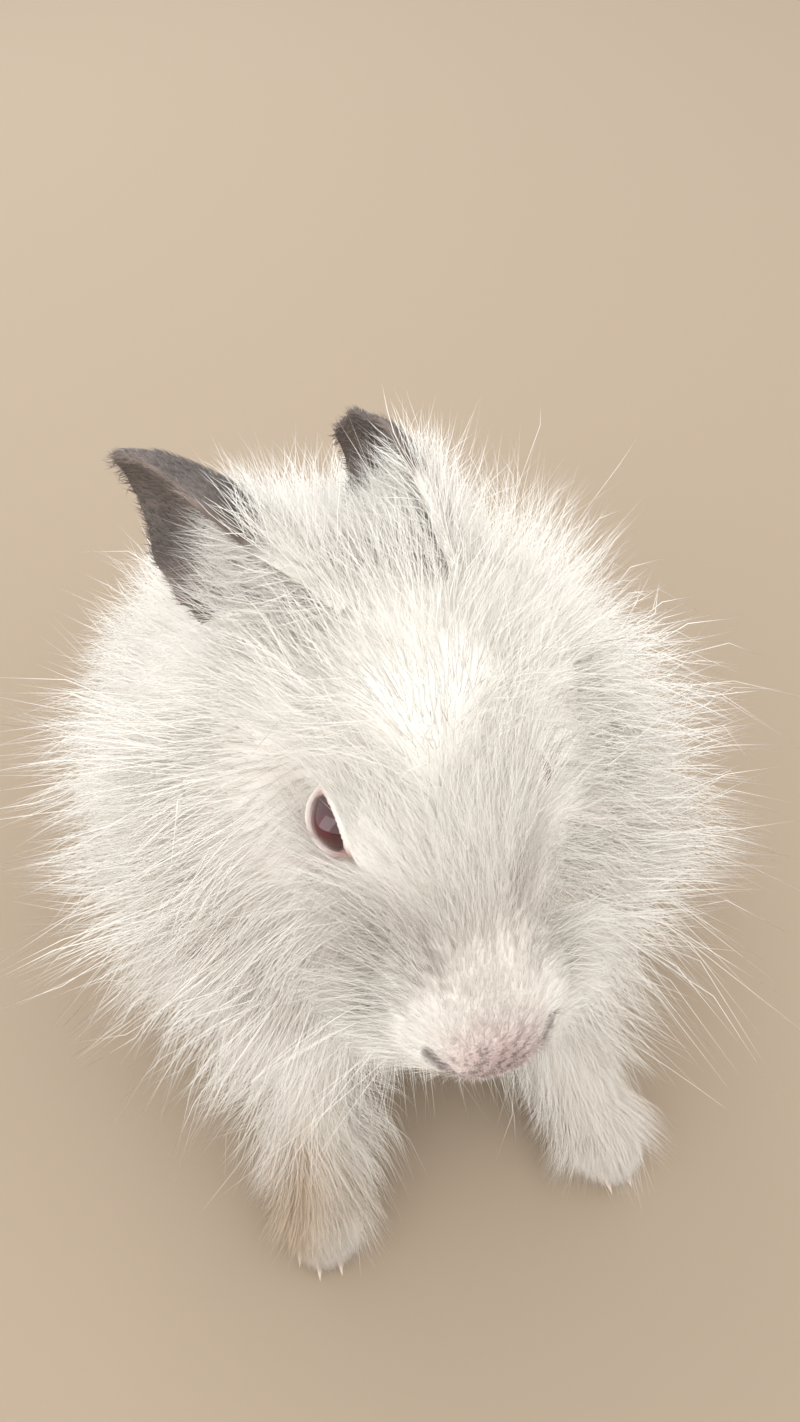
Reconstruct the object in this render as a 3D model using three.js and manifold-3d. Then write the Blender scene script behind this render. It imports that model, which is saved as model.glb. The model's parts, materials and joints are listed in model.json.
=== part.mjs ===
// Angora rabbit at rest on its feet, life size, in millimetres.
// It faces -Y, its right side is -X, +Z is up and the floor is z = 0.
import * as THREE from 'three'
import { mergeVertices } from 'three/addons/utils/BufferGeometryUtils.js'
import Module from 'manifold-3d'

const wasm = await Module()
wasm.setup()

const vec = (x, y, z) => new THREE.Vector3(x, y, z)
const along = (point, direction, distance) => point.clone().addScaledVector(direction, distance)
const cross = (first, second) => first.clone().cross(second).normalize()
const mix = THREE.MathUtils.lerp
const rise = (low, high, value) => THREE.MathUtils.smoothstep(value, low, high)

// Driving dimensions
const EYE_LEVEL = vec(0, -78, 150) // midpoint between the two eyes
const FACE_SLOPE = THREE.MathUtils.degToRad(38) // bridge of the nose below level
const GAP = 0.3 // clearance between neighbouring nodes
const LOWEST_COAT = 1.2 // clearance of the coat above the floor
const BLEND = 7 // rounding where two forms of the body meet
const CORE_SHARE = 0.45 // how far the core reaches into the coat
const FACE_FINENESS = 0.45 // how much finer the face's surface is than the nape's, 0 to 1
const ORIGIN_SHIFT = vec(0.5, -3.9, 0) // brings the middle of the whole box over the origin
const BLOCK = 600 // edge of a cutting block, larger than the animal

const EYE_RADIUS = 7
const LID_THICKNESS = 1.3
const EYE_OPENING_LENGTH = 12
const EYE_OPENING_HEIGHT = 7.6
const EYE_OPENING_DEPTH = 8

const EAR_OUTLINE = [5.5, 7.6, 9.8, 11.6, 12.7, 13.2, 13, 11.8, 9.2, 5] // half widths, root to tip
const EAR_THICKNESS = 2
const EAR_ROOT_SPREAD = 2.1 // half angle of the rolled root, in radians
const EAR_TIP_SPREAD = 1.1 // half angle of the open tip

const CLAW_LENGTH = 7
const CLAW_RADIUS = 1.4
const CLAW_SPACING = 4
const CLAWS_PER_FOOT = 4

const SHORTEST_LOCKED_COAT = 10.5 // shorter coat than this has no locks
const LOCK_SPACING = 6 // distance between locks on the shortest coat that has them
const LOCK_SPACING_GROWTH = 0.56 // more of it for each millimetre of coat
const LOCK_ROOT_DEPTH = 2.5 // the least that a root is sunk into the core
const LOCK_ROOT_SHARE = 0.14 // more of it, as a share of the coat's length
const LONGEST_LOCK = 2.2 // times the coat's length there
const LOCK_WIDTH = 0.58 // half width as a share of the spacing
const LOCK_FLATNESS = 0.3 // thickness as a share of the width
const EYE_CLEARING = 18 // no lock starts or lies nearer to the middle of an eye
const LOCK_TRIES = 1600 // places tried for the roots of a node's locks
const LOCK_STATIONS = [[0, 0.5], [0.38, 1], [0.72, 0.7]] // place along a lock, width there

// Head frame: x across, s along the bridge toward the nose, t up out of the forehead
const NOSEWARD = vec(0, -Math.cos(FACE_SLOPE), -Math.sin(FACE_SLOPE))
const CROWNWARD = vec(0, -Math.sin(FACE_SLOPE), Math.cos(FACE_SLOPE))
const onHead = (x, s, t) => along(along(vec(x, 0, 0).add(EYE_LEVEL), NOSEWARD, s), CROWNWARD, t)
const towardOnHead = (x, s, t) =>
  vec(x, 0, 0).addScaledVector(NOSEWARD, s).addScaledVector(CROWNWARD, t).normalize()

// Forms of the body under the coat
const ball = (x, y, z, rx, ry, rz) => ({ at: vec(x, y, z), radii: vec(rx, ry, rz) })
const headBall = (x, s, t, rx, rs, rt) => ({ at: onHead(x, s, t), radii: vec(rx, rs, rt), turned: true })
const limb = (from, to, thick, thin) => ({ from, to, thick, thin })
const GOLDEN_ANGLE = Math.PI * (3 - Math.sqrt(5))
const bothSides = (make) => [make(-1), make(1)]

const eyeCentre = (side) => onHead(side * 14.7, 0.5, -1)
const gaze = (side) => towardOnHead(side * 0.8, 0.08, 0.6)

const HEAD_FORMS = [
  headBall(0, -8, 1, 16.5, 27, 18),
  ...bothSides((side) => headBall(side * 10, 0, 7, 7.5, 15, 8)),
  headBall(0, 10, 4, 13, 22, 13.5),
  headBall(0, 22, -1, 12.5, 25, 13.5),
  headBall(0, 37, -1, 11, 11.5, 10),
  ...bothSides((side) => headBall(side * 7, 36, -8, 8, 10, 8)),
  ...bothSides((side) => headBall(side * 10.5, -4, -14, 9.5, 20, 13)),
  headBall(0, 20, -15, 8, 20, 6.5),
  headBall(0, 33, -16, 5.5, 6.5, 5),
  headBall(0, -28, -4, 17, 16, 18),
  ...bothSides((side) => limb(eyeCentre(side), eyeCentre(side), EYE_RADIUS, EYE_RADIUS)),
]
const NECK_FORMS = [ball(0, -58, 132, 21, 21, 21), ball(0, -44, 112, 25, 25, 25)]
const TORSO_FORMS = [
  ball(0, -26, 80, 34, 36, 42),
  ...bothSides((side) => ball(side * 19, -34, 78, 17, 24, 32)),
  ball(0, 14, 65, 39, 44, 42),
  ball(0, 50, 45, 41, 42, 40),
]
const haunchForms = (side) => [
  ball(side * 34, 40, 44, 21, 42, 38),
  ball(side * 39, 8, 34, 14, 22, 26),
]
const forelegForms = (side) => [
  limb(vec(side * 28, -44, 52), vec(side * 35, -84, 20), 10.5, 8.5),
  limb(vec(side * 35, -84, 17), vec(side * 39, -104, 6), 8.5, 7.5),
]
const hindFootForms = (side) => [
  limb(vec(side * 38, 58, 9), vec(side * 42, -12, 6), 9, 8.5),
  ball(side * 42, -14, 5.5, 10, 12, 7),
]
const TAIL_FORMS = [limb(vec(0, 86, 36), vec(0, 104, 44), 9, 7)]

// Distance from a point to one form, negative inside it
function formDistance(form, point) {
  if (form.from) {
    const axis = form.to.clone().sub(form.from)
    const away = point.clone().sub(form.from)
    const length = Math.max(axis.lengthSq(), 1e-6)
    const share = THREE.MathUtils.clamp(away.dot(axis) / length, 0, 1)
    return away.addScaledVector(axis, -share).length() - mix(form.thick, form.thin, share)
  }
  const away = point.clone().sub(form.at)
  const local = form.turned ? vec(away.x, away.dot(NOSEWARD), away.dot(CROWNWARD)) : away
  const unit = local.divide(form.radii)
  const length = Math.max(unit.length(), 1e-6)
  return (length * (length - 1)) / Math.max(unit.divide(form.radii).length(), 1e-6)
}

// Distance to several forms melted together
function bodyDistance(forms, point) {
  let nearest = formDistance(forms[0], point)
  for (const form of forms.slice(1)) {
    const other = formDistance(form, point)
    const closeness = Math.max(BLEND - Math.abs(nearest - other), 0)
    nearest = Math.min(nearest, other) - (closeness * closeness) / (4 * BLEND)
  }
  return nearest
}

// Direction straight out of the melted forms
function outward(forms, point) {
  const beside = (axis, step) => bodyDistance(forms, along(point, axis, step))
  const slope = (axis) => beside(axis, 0.5) - beside(axis, -0.5)
  return vec(slope(vec(1, 0, 0)), slope(vec(0, 1, 0)), slope(vec(0, 0, 1))).normalize()
}

// Length of the coat on the head and trunk: places, how far each reaches, length there
const COAT_PLACES = [
  { at: onHead(0, 48, 0), reach: 7, length: 1.5 },
  { at: onHead(11, 38, -6), reach: 8, length: 5 },
  { at: onHead(0, 36, 7), reach: 7, length: 3.5 },
  { at: onHead(0, 24, 11), reach: 9, length: 6 },
  { at: onHead(13, 25, -4), reach: 8, length: 10 },
  { at: onHead(21, 2, 3), reach: 8.5, length: 1.5 },
  { at: onHead(20, -14, 6), reach: 6, length: 18 },
  { at: onHead(20, 5, -10), reach: 6, length: 8 },
  { at: onHead(0, 5, 18), reach: 9, length: 9 },
  { at: onHead(14, 2, 11), reach: 7, length: 3 },
  { at: onHead(13, -5, 13), reach: 6, length: 8 },
  { at: onHead(0, -15, 19), reach: 9, length: 36 },
  { at: onHead(13, -17, 13), reach: 8, length: 38 },
  { at: onHead(15, -24, 9), reach: 10, length: 40 },
  { at: onHead(0, -36, 14), reach: 10, length: 26 },
  { at: onHead(18, 16, -15), reach: 9, length: 22 },
  { at: onHead(22, -18, -12), reach: 12, length: 50 },
  { at: onHead(18, -2, -22), reach: 10, length: 38 },
  { at: onHead(0, 34, -21), reach: 8, length: 6 },
  { at: onHead(0, 8, -28), reach: 12, length: 28 },
  { at: vec(0, -34, 150), reach: 14, length: 28 },
  { at: vec(28, -46, 120), reach: 17, length: 60 },
  { at: vec(26, -64, 102), reach: 14, length: 54 },
  { at: vec(0, -70, 92), reach: 18, length: 36 },
  { at: vec(0, -12, 128), reach: 20, length: 38 },
  { at: vec(0, 20, 112), reach: 22, length: 37 },
  { at: vec(0, 68, 78), reach: 22, length: 33 },
  { at: vec(38, -32, 82), reach: 20, length: 44 },
  { at: vec(42, 6, 70), reach: 20, length: 42 },
  { at: vec(53, 4, 34), reach: 16, length: 30 },
  { at: vec(56, 42, 50), reach: 26, length: 28 },
  { at: vec(0, 92, 45), reach: 20, length: 30 },
  { at: vec(0, 10, 20), reach: 18, length: 16 },
]
function trunkCoat(point) {
  const folded = vec(Math.abs(point.x), point.y, point.z)
  let lengths = 0
  let weights = 0
  for (const place of COAT_PLACES) {
    const weight = 1 / (0.02 + (folded.distanceTo(place.at) / place.reach) ** 4)
    lengths += weight * place.length
    weights += weight
  }
  return lengths / weights
}
const forelegCoat = (point) => mix(3.5, 11.5, rise(-104, -80, point.y))
const hindFootCoat = (point) => mix(4, 7, rise(-10, 20, point.y))
const tailCoat = () => 18

// Closed solid from points and triangles, its faces turned outward
function solidFrom(points, faces) {
  let volume = 0
  for (let face = 0; face < faces.length; face += 3) {
    const [a, b, c] = [points[faces[face]], points[faces[face + 1]], points[faces[face + 2]]]
    volume += a.dot(b.clone().cross(c))
  }
  const turned = volume < 0 ? [...faces].reverse() : faces
  return new wasm.Manifold(new wasm.Mesh({
    numProp: 3,
    vertProperties: Float32Array.from(points.flatMap((point) => point.toArray())),
    triVerts: Uint32Array.from(turned),
  }))
}

// Closed solid from one of the standard round or square shapes
function solidOf(geometry) {
  geometry.deleteAttribute('uv')
  geometry.deleteAttribute('normal')
  const joined = mergeVertices(geometry, 1e-5)
  const corners = joined.getAttribute('position')
  const corner = (_, index) => vec().fromBufferAttribute(corners, index)
  const points = Array.from({ length: corners.count }, corner)
  return solidFrom(points, Array.from(joined.getIndex().array))
}

const fan = (count) => Array.from({ length: count - 2 }, (_, index) => [0, index + 1, index + 2])
const strip = (count) =>
  Array.from({ length: count / 2 - 1 }, (_, index) => index).flatMap((index) => [
    [index, index + 1, count - 2 - index],
    [index, count - 2 - index, count - 1 - index],
  ])

// Closed solid through rings of equal count, closed by a tip or by the last ring's cap
function loft(rings, cap = fan, tip = null) {
  const count = rings[0].length
  const faces = []
  for (let ring = 0; ring + 1 < rings.length; ring += 1) {
    for (let corner = 0; corner < count; corner += 1) {
      const here = ring * count + corner
      const next = ring * count + ((corner + 1) % count)
      faces.push(here, next, next + count, here, next + count, here + count)
    }
  }
  const last = (rings.length - 1) * count
  for (const [a, b, c] of cap(count)) {
    faces.push(a, c, b)
    if (!tip) {
      faces.push(last + a, last + b, last + c)
    }
  }
  if (!tip) {
    return solidFrom(rings.flat(), faces)
  }
  for (let corner = 0; corner < count; corner += 1) {
    faces.push(last + corner, last + ((corner + 1) % count), last + count)
  }
  return solidFrom([...rings.flat(), tip], faces)
}

// Rings around a path; each station has a half width and a half depth
function ringsAlong(path, up, sizes, sides) {
  return path.map((point, index) => {
    const before = path[Math.max(index - 1, 0)]
    const after = path[Math.min(index + 1, path.length - 1)]
    const heading = after.clone().sub(before).normalize()
    const across = cross(heading, up)
    const depth = cross(across, heading)
    const [width, thickness] = sizes[index]
    return Array.from({ length: sides }, (_, corner) => {
      const turn = Math.PI * (0.5 + (2 * corner) / sides)
      return along(along(point, across, Math.cos(turn) * width), depth, Math.sin(turn) * thickness)
    })
  })
}

// Point straight out from a centre where the distance to the forms equals reach(point)
function surfacePoint(forms, centre, direction, reach) {
  const beyond = (range) => {
    const point = along(centre, direction, range)
    return bodyDistance(forms, point) - reach(point)
  }
  let far = 2
  while (beyond(far) < 0) {
    far += 2
  }
  let near = far - 2
  for (let halving = 0; halving < 12; halving += 1) {
    const middle = (near + far) / 2
    if (beyond(middle) < 0) {
      near = middle
    } else {
      far = middle
    }
  }
  return along(centre, direction, near)
}

// Closed surface around a centre at the given reach from the forms, finer toward the lean
function wrap(forms, centre, detail, reach, lean = vec(0, 0, 0)) {
  const sphere = new THREE.IcosahedronGeometry(1, detail)
  const corners = sphere.getAttribute('position')
  for (let index = 0; index < corners.count; index += 1) {
    const direction = vec().fromBufferAttribute(corners, index).normalize().add(lean).normalize()
    const found = surfacePoint(forms, centre, direction, reach)
    corners.setXYZ(index, found.x, found.y, found.z)
  }
  return solidOf(sphere)
}

// Everything on the far side of a plane, to cut with
function halfSpace(at, direction) {
  const block = new THREE.BoxGeometry(BLOCK, BLOCK, BLOCK).translate(0, 0, BLOCK / 2)
  block.applyQuaternion(new THREE.Quaternion().setFromUnitVectors(vec(0, 0, 1), direction))
  block.translate(at.x, at.y, at.z)
  return solidOf(block)
}

function ellipsoid(centre, axes, radii) {
  const shape = new THREE.IcosahedronGeometry(1, 2).scale(...radii)
  shape.applyMatrix4(new THREE.Matrix4().makeBasis(...axes).setPosition(centre))
  return solidOf(shape)
}

const joinAll = (solids) => solids.reduce((whole, solid) => whole.add(solid))
const cutAll = (solid, cutters) => cutters.reduce((whole, cutter) => whole.subtract(cutter), solid)

// The largest closed surface of a solid
function largest(solid) {
  return solid.decompose().reduce((best, piece) => (piece.volume() > best.volume() ? piece : best))
}

// Repeatable chance
function chance(seed) {
  let state = seed
  return () => {
    state = (state * 1664525 + 1013904223) % 4294967296
    return state / 4294967296
  }
}

// Planes between the large nodes; each points into the node named second
const NECK_SLANT = vec(0, 0.8, -0.6)
const HEAD_TO_NECK = { at: vec(0, -58, 130), direction: NECK_SLANT }
const NECK_TO_TORSO = { at: vec(0, -38, 104), direction: NECK_SLANT }
const HAUNCH_INSIDE = 30
const HAUNCH_FRONT = -14
const haunchInside = (side) => ({ at: vec(side * HAUNCH_INSIDE, 0, 0), direction: vec(side, 0, 0) })
const haunchFront = (side) => ({
  at: vec(side * HAUNCH_INSIDE, HAUNCH_FRONT, 0),
  direction: vec(-side * 0.5, 0.86, 0).normalize(),
})
const beyondPlane = (plane, offset) => halfSpace(along(plane.at, plane.direction, offset), plane.direction)
const haunchCorner = (side, offset) =>
  beyondPlane(haunchInside(side), offset).intersect(beyondPlane(haunchFront(side), offset))
const aboveFloor = (height) => halfSpace(vec(0, 0, height), vec(0, 0, 1))

// Pushes that keep the middle of a lock inside its own node
const LOCK_MARGIN = 2.5
const depthPast = (point, plane) => point.clone().sub(plane.at).dot(plane.direction)
function pushOff(point, plane, sign) {
  const depth = depthPast(point, plane) * sign
  return depth < LOCK_MARGIN ? along(point, plane.direction, sign * (LOCK_MARGIN - depth)) : point
}
function pushOutOfHaunches(point) {
  const side = Math.sign(point.x)
  const [inside, front] = [haunchInside(side), haunchFront(side)]
  const nearer = depthPast(point, inside) < depthPast(point, front) ? inside : front
  return pushOff(point, nearer, -1)
}
const pushIntoHaunch = (point, side) => pushOff(pushOff(point, haunchInside(side), 1), haunchFront(side), 1)
const pushUp = (point) => vec(point.x, point.y, Math.max(point.z, LOWEST_COAT + LOCK_MARGIN))

// One flat tapered lock that leaves the core, sags with its length and ends at the coat's surface
function lock(forms, root, heading, out, coatThere, halfWidth, droop, push) {
  const placeAt = (distance, length) =>
    push(along(root, heading, distance).add(vec(0, 0, (-droop * distance * distance) / length)))
  let length = coatThere * 0.5
  while (bodyDistance(forms, placeAt(length, length)) < coatThere && length < coatThere * LONGEST_LOCK) {
    length += 1
  }
  const place = (share) => placeAt(share * length, length)
  const path = LOCK_STATIONS.map(([share]) => place(share))
  const sizes = LOCK_STATIONS.map(([, width]) => [width * halfWidth, width * halfWidth * LOCK_FLATNESS])
  return loft(ringsAlong(path, out, sizes, 3), fan, place(1))
}

const fromEyes = (point) => Math.min(...bothSides((side) => eyeCentre(side).distanceTo(point)))

// Locks all over a node's core, spaced by the length of the coat
function locksFor({ forms, centre, coat, flow, stand, push, droop, seed, sparseness = 1 }) {
  const random = chance(seed)
  const roots = []
  const locks = []
  for (let attempt = 0; attempt < LOCK_TRIES; attempt += 1) {
    const height = 1 - (2 * (attempt + 0.5)) / LOCK_TRIES
    const turn = attempt * GOLDEN_ANGLE + random() * 0.3
    const level = Math.sqrt(1 - height * height)
    const direction = vec(level * Math.cos(turn), level * Math.sin(turn), height)
    const root = surfacePoint(forms, centre, direction, (point) => CORE_SHARE * coat(point))
    const fur = coat(root)
    const spacing = (LOCK_SPACING + LOCK_SPACING_GROWTH * fur) * sparseness
    if (fur < SHORTEST_LOCKED_COAT || push(root).distanceTo(root) > 1) {
      continue
    }
    if (roots.some((other) => other.distanceTo(root) < spacing)) {
      continue
    }
    const out = outward(forms, root)
    const lie = flow(root)
    const flat = lie.addScaledVector(out, -lie.dot(out)).normalize()
    const side = cross(flat, out)
    const sway = (random() - 0.5) * 0.5
    const lift = stand * mix(0.45, 1, rise(8, 34, fur))
    const heading = out.clone().multiplyScalar(lift).addScaledVector(flat, 1 - lift * 0.45)
    heading.addScaledVector(side, sway).normalize()
    const nearEye = (share) => fromEyes(along(root, heading, share * fur)) < EYE_CLEARING
    const overEye = [0, 0.8, 1.6].some(nearEye)
    if (overEye) {
      continue
    }
    roots.push(root)
    const start = along(root, out, -LOCK_ROOT_DEPTH - LOCK_ROOT_SHARE * fur)
    const halfWidth = spacing * LOCK_WIDTH * mix(0.85, 1.15, random())
    const twist = along(out, side, (random() - 0.5) * 0.6).normalize()
    const length = fur * mix(0.93, 1.05, random())
    locks.push(lock(forms, start, heading, twist, length, halfWidth, droop, push))
  }
  return locks
}

// Ears: both are turned toward the animal's right
const EARS = {
  right: {
    root: onHead(-8, -34, 9),
    bend: vec(-20, -40, 194),
    tip: vec(-38.5, -21, 181.5),
    opening: vec(-0.85, -0.53, 0.08),
  },
  left: {
    root: onHead(10, -34, 9),
    bend: vec(8, -34, 180),
    tip: vec(3, -8, 166),
    opening: vec(-0.3, -0.75, 0.5),
  },
}
function earRings({ root, bend, tip, opening }, swell, filled) {
  const path = new THREE.QuadraticBezierCurve3(root, bend, tip)
  const last = EAR_OUTLINE.length - 1
  return EAR_OUTLINE.map((halfWidth, station) => {
    const share = station / last
    const heading = path.getTangent(share)
    const ends = station === 0 ? -swell : station === last ? swell : 0
    const middle = along(path.getPoint(share), heading, ends)
    const open = along(opening, heading, -opening.dot(heading)).normalize()
    const across = cross(heading, open)
    const spread = mix(EAR_ROOT_SPREAD, EAR_TIP_SPREAD, share)
    const radius = halfWidth / Math.sin(Math.min(spread, Math.PI / 2))
    const hub = along(middle, open, radius)
    const arc = (range, turn) =>
      along(along(hub, across, Math.sin(turn) * range), open, -Math.cos(turn) * range)
    const steps = [-1, -0.67, -0.33, 0, 0.33, 0.67, 1]
    const reach = spread + swell / radius
    const outer = steps.map((step) => arc(radius + swell, step * reach))
    const thickness = EAR_THICKNESS * mix(1, 0.7, share)
    if (filled) {
      const lift = swell + Math.max(thickness * Math.cos(spread), 0)
      return [...outer, along(outer.at(-1), open, lift), along(outer[0], open, lift)]
    }
    const inner = steps.map((step) => arc(Math.max(radius - thickness, 0.8), -step * spread))
    return [...outer, ...inner]
  })
}
const ear = (shape) => loft(earRings(shape, 0, false), strip)
const earRoom = (shape) => loft(earRings(shape, GAP, true))

// Eyes, the openings of the lids, nostrils and the line of the mouth
function eyeAxes(side) {
  const look = gaze(side)
  const slit = towardOnHead(-side * 0.29, 0.96, 0)
  slit.addScaledVector(look, -slit.dot(look)).normalize()
  return [slit, cross(look, slit), look]
}
const eyeball = (side, radius) => ellipsoid(eyeCentre(side), eyeAxes(side), [radius, radius, radius])
function lidOpening(side) {
  const [slit, up, look] = eyeAxes(side)
  const halfLength = EYE_OPENING_LENGTH / 2
  const halfHeight = EYE_OPENING_HEIGHT / 2
  const radius = (halfLength ** 2 / halfHeight + halfHeight) / 2
  const middle = along(eyeCentre(side), look, EYE_RADIUS + LID_THICKNESS)
  const arch = (sign) => {
    const centre = along(middle, up, sign * (radius - halfHeight))
    return ellipsoid(centre, [slit, up, look], [radius, radius, EYE_OPENING_DEPTH])
  }
  return arch(1).intersect(arch(-1))
}
function lids(side) {
  const [slit, up, look] = eyeAxes(side)
  const rim = new THREE.TorusGeometry(1, LID_THICKNESS * 0.2, 6, 20).scale(
    EYE_OPENING_LENGTH / 2 + LID_THICKNESS * 0.6,
    EYE_OPENING_HEIGHT / 2 + LID_THICKNESS * 0.6,
    LID_THICKNESS * 3,
  )
  const corners = rim.getAttribute('position')
  for (let index = 0; index < corners.count; index += 1) {
    const corner = vec().fromBufferAttribute(corners, index)
    const overEye = (EYE_RADIUS + LID_THICKNESS * 0.5) ** 2 - corner.x ** 2 - corner.y ** 2
    corners.setZ(index, corner.z + Math.sqrt(Math.max(overEye, 0)))
  }
  rim.applyMatrix4(new THREE.Matrix4().makeBasis(slit, up, look).setPosition(eyeCentre(side)))
  return solidOf(rim)
}
const trunkCore = (point) => CORE_SHARE * trunkCoat(point)
const onFace = (x, s, t) => surfacePoint(HEAD_FORMS, onHead(0, 30, -3), towardOnHead(x, s, t), trunkCore)
function groove(targets, halfWidth) {
  const path = targets.map(([x, s, t]) => onFace(x, s, t))
  const sizes = path.map((_, index) => (index % (path.length - 1) === 0 ? halfWidth * 0.4 : halfWidth))
  return loft(ringsAlong(path, NOSEWARD, sizes.map((size) => [size, size]), 6))
}
const nostril = (side) =>
  groove([[side * 3.5, 16, -1.5], [side * 6, 15.5, 1], [side * 9, 13.5, 2.5]], 1.5)
const LIP = [[13, 6, -9], [9, 11, -9], [4.5, 14, -8.5]]
const rightLip = LIP.map(([x, s, t]) => [-x, s, t])
const mouth = groove([...rightLip, [0, 15, -6.5], ...LIP.toReversed()], 1.1)
const philtrum = groove([[0, 17, 0], [0, 16.5, -3], [0, 15, -6.5]], 0.9)

// Claws
function claw(root, heading, swell) {
  const up = vec(0, 0, 1)
  const path = [along(root, heading, -swell), along(root, heading, CLAW_LENGTH * 0.55)]
  const sizes = [CLAW_RADIUS, CLAW_RADIUS * 0.8].map((radius) => [radius * 0.75 + swell, radius + swell])
  const tip = along(root, heading, CLAW_LENGTH + swell).add(vec(0, 0, -0.8))
  return loft(ringsAlong(path, up, sizes, 6), fan, tip)
}
function clawRoots(forms, centre, side, turnOut) {
  return Array.from({ length: CLAWS_PER_FOOT }, (_, index) => {
    const offset = (index - (CLAWS_PER_FOOT - 1) / 2) * CLAW_SPACING
    const heading = vec(side * turnOut + offset * 0.03, -1, -0.12).normalize()
    const inside = vec(centre.x + offset, centre.y, 4)
    const skin = surfacePoint(forms, inside, heading, () => 0)
    return { root: along(skin, heading, -2.2), heading }
  })
}

// Feet: how much of their coat the neighbours make room for
const forelegShare = (point) => mix(1, CORE_SHARE, rise(26, 40, point.z))
const hindFootShare = (point) => mix(1, CORE_SHARE, rise(-6, 16, point.y))
const tailShare = (point) => mix(CORE_SHARE, 1, rise(86, 98, point.y))
const roomFor = (part, share, extra) =>
  wrap(part.forms, part.centre, part.detail, (point) => share(point) * part.coat(point) + extra)
const coreOf = (part) =>
  wrap(part.forms, part.centre, part.detail, (point) => CORE_SHARE * part.coat(point), part.lean)

const backAndDown = () => vec(0, 0.8, -0.55)
const forelegPart = (side) => ({
  forms: forelegForms(side),
  centre: vec(side * 34.5, -80, 23),
  detail: 3,
  coat: forelegCoat,
  flow: () => vec(side * 0.1, -0.4, -0.9),
  stand: 0.9,
  droop: 0.05,
  seed: 40 + side,
  sparseness: 2.1,
})
const hindFootPart = (side) => ({
  forms: hindFootForms(side),
  centre: vec(side * 40, 20, 8),
  detail: 3,
  coat: hindFootCoat,
})
const haunchPart = (side) => ({
  forms: [...TORSO_FORMS, ...haunchForms(side)],
  centre: vec(side * 44, 36, 46),
  detail: 3,
  coat: trunkCoat,
  flow: backAndDown,
  stand: 0.75,
  droop: 0.12,
  push: (point) => pushUp(pushIntoHaunch(point, side)),
  seed: 60 + side,
})
const TAIL_PART = {
  forms: TAIL_FORMS,
  centre: vec(0, 94, 39),
  detail: 2,
  coat: tailCoat,
  flow: () => vec(0, 0.9, 0.5),
  stand: 0.8,
  droop: 0.05,
  push: pushUp,
  seed: 70,
  sparseness: 1.3,
}
const TORSO_PART = {
  forms: [...TORSO_FORMS, ...NECK_FORMS, ...haunchForms(-1), ...haunchForms(1)],
  centre: vec(0, 10, 70),
  detail: 4,
  coat: trunkCoat,
  flow: backAndDown,
  stand: 0.75,
  droop: 0.12,
  push: (point) => pushUp(pushOutOfHaunches(pushOff(point, NECK_TO_TORSO, 1))),
  seed: 20,
}
const NECK_PART = {
  forms: [...NECK_FORMS, ...TORSO_FORMS, ...HEAD_FORMS],
  centre: vec(0, -50, 118),
  detail: 3,
  coat: trunkCoat,
  flow: () => vec(0, 0.5, -0.85),
  stand: 0.85,
  droop: 0.12,
  push: (point) => pushUp(pushOff(pushOff(point, HEAD_TO_NECK, 1), NECK_TO_TORSO, -1)),
  seed: 10,
}
const HEAD_PART = {
  forms: [...HEAD_FORMS, ...NECK_FORMS],
  centre: onHead(0, 6, 0),
  lean: NOSEWARD.clone().multiplyScalar(FACE_FINENESS),
  detail: 6,
  coat: trunkCoat,
  flow: (point) => NOSEWARD.clone().multiplyScalar(-1).add(vec(Math.sign(point.x) * 0.5, 0, 0)),
  stand: 0.85,
  droop: 0.06,
  push: (point) => pushOff(point, HEAD_TO_NECK, -1),
  seed: 5,
  sparseness: 0.88,
}

// Solids of every node
const sides = [['right', -1], ['left', 1]]
const solids = {}
const rooms = { ears: [], feet: [], tail: roomFor(TAIL_PART, tailShare, GAP) }

for (const [name, side] of sides) {
  solids[`ear_${name}`] = ear(EARS[name])
  solids[`eye_${name}`] = eyeball(side, EYE_RADIUS)
  rooms.ears.push(earRoom(EARS[name]))

  const feet = [
    [`foreleg_${name}`, forelegPart(side), forelegShare, vec(side * 38, -100, 5), 0.12],
    [`hind_foot_${name}`, hindFootPart(side), hindFootShare, vec(side * 42, -10, 5), 0.05],
  ]
  for (const [footName, part, share, toes, turnOut] of feet) {
    const claws = clawRoots(part.forms, toes, side, turnOut)
    const clawRooms = claws.map(({ root, heading }) => claw(root, heading, GAP))
    claws.forEach(({ root, heading }, index) => {
      solids[`claw_${footName}_${index + 1}`] = claw(root, heading, 0)
    })
    rooms.feet.push(roomFor(part, share, GAP), ...clawRooms)
    let foot = coreOf(part)
    if (part.flow) {
      const locks = locksFor({ ...part, push: (point) => vec(point.x, point.y, Math.max(point.z, 3)) })
      foot = joinAll([foot, ...locks]).intersect(roomFor(part, share, 0))
    }
    solids[footName] = largest(cutAll(foot.intersect(aboveFloor(0)), clawRooms))
  }
}

const trimmed = (part, region) =>
  joinAll([coreOf(part), ...locksFor(part)]).intersect(region)

const tailRegion = roomFor(TAIL_PART, tailShare, 0).intersect(aboveFloor(LOWEST_COAT))
solids.tail = largest(trimmed(TAIL_PART, tailRegion))
const roomsRound = [...rooms.ears, ...rooms.feet, rooms.tail]

const beforeHead = beyondPlane(HEAD_TO_NECK, -GAP / 2)
const behindHead = beyondPlane(HEAD_TO_NECK, GAP / 2)
const beforeTorso = beyondPlane(NECK_TO_TORSO, -GAP / 2)
const behindNeck = beyondPlane(NECK_TO_TORSO, GAP / 2)
const dry = aboveFloor(LOWEST_COAT)

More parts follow.
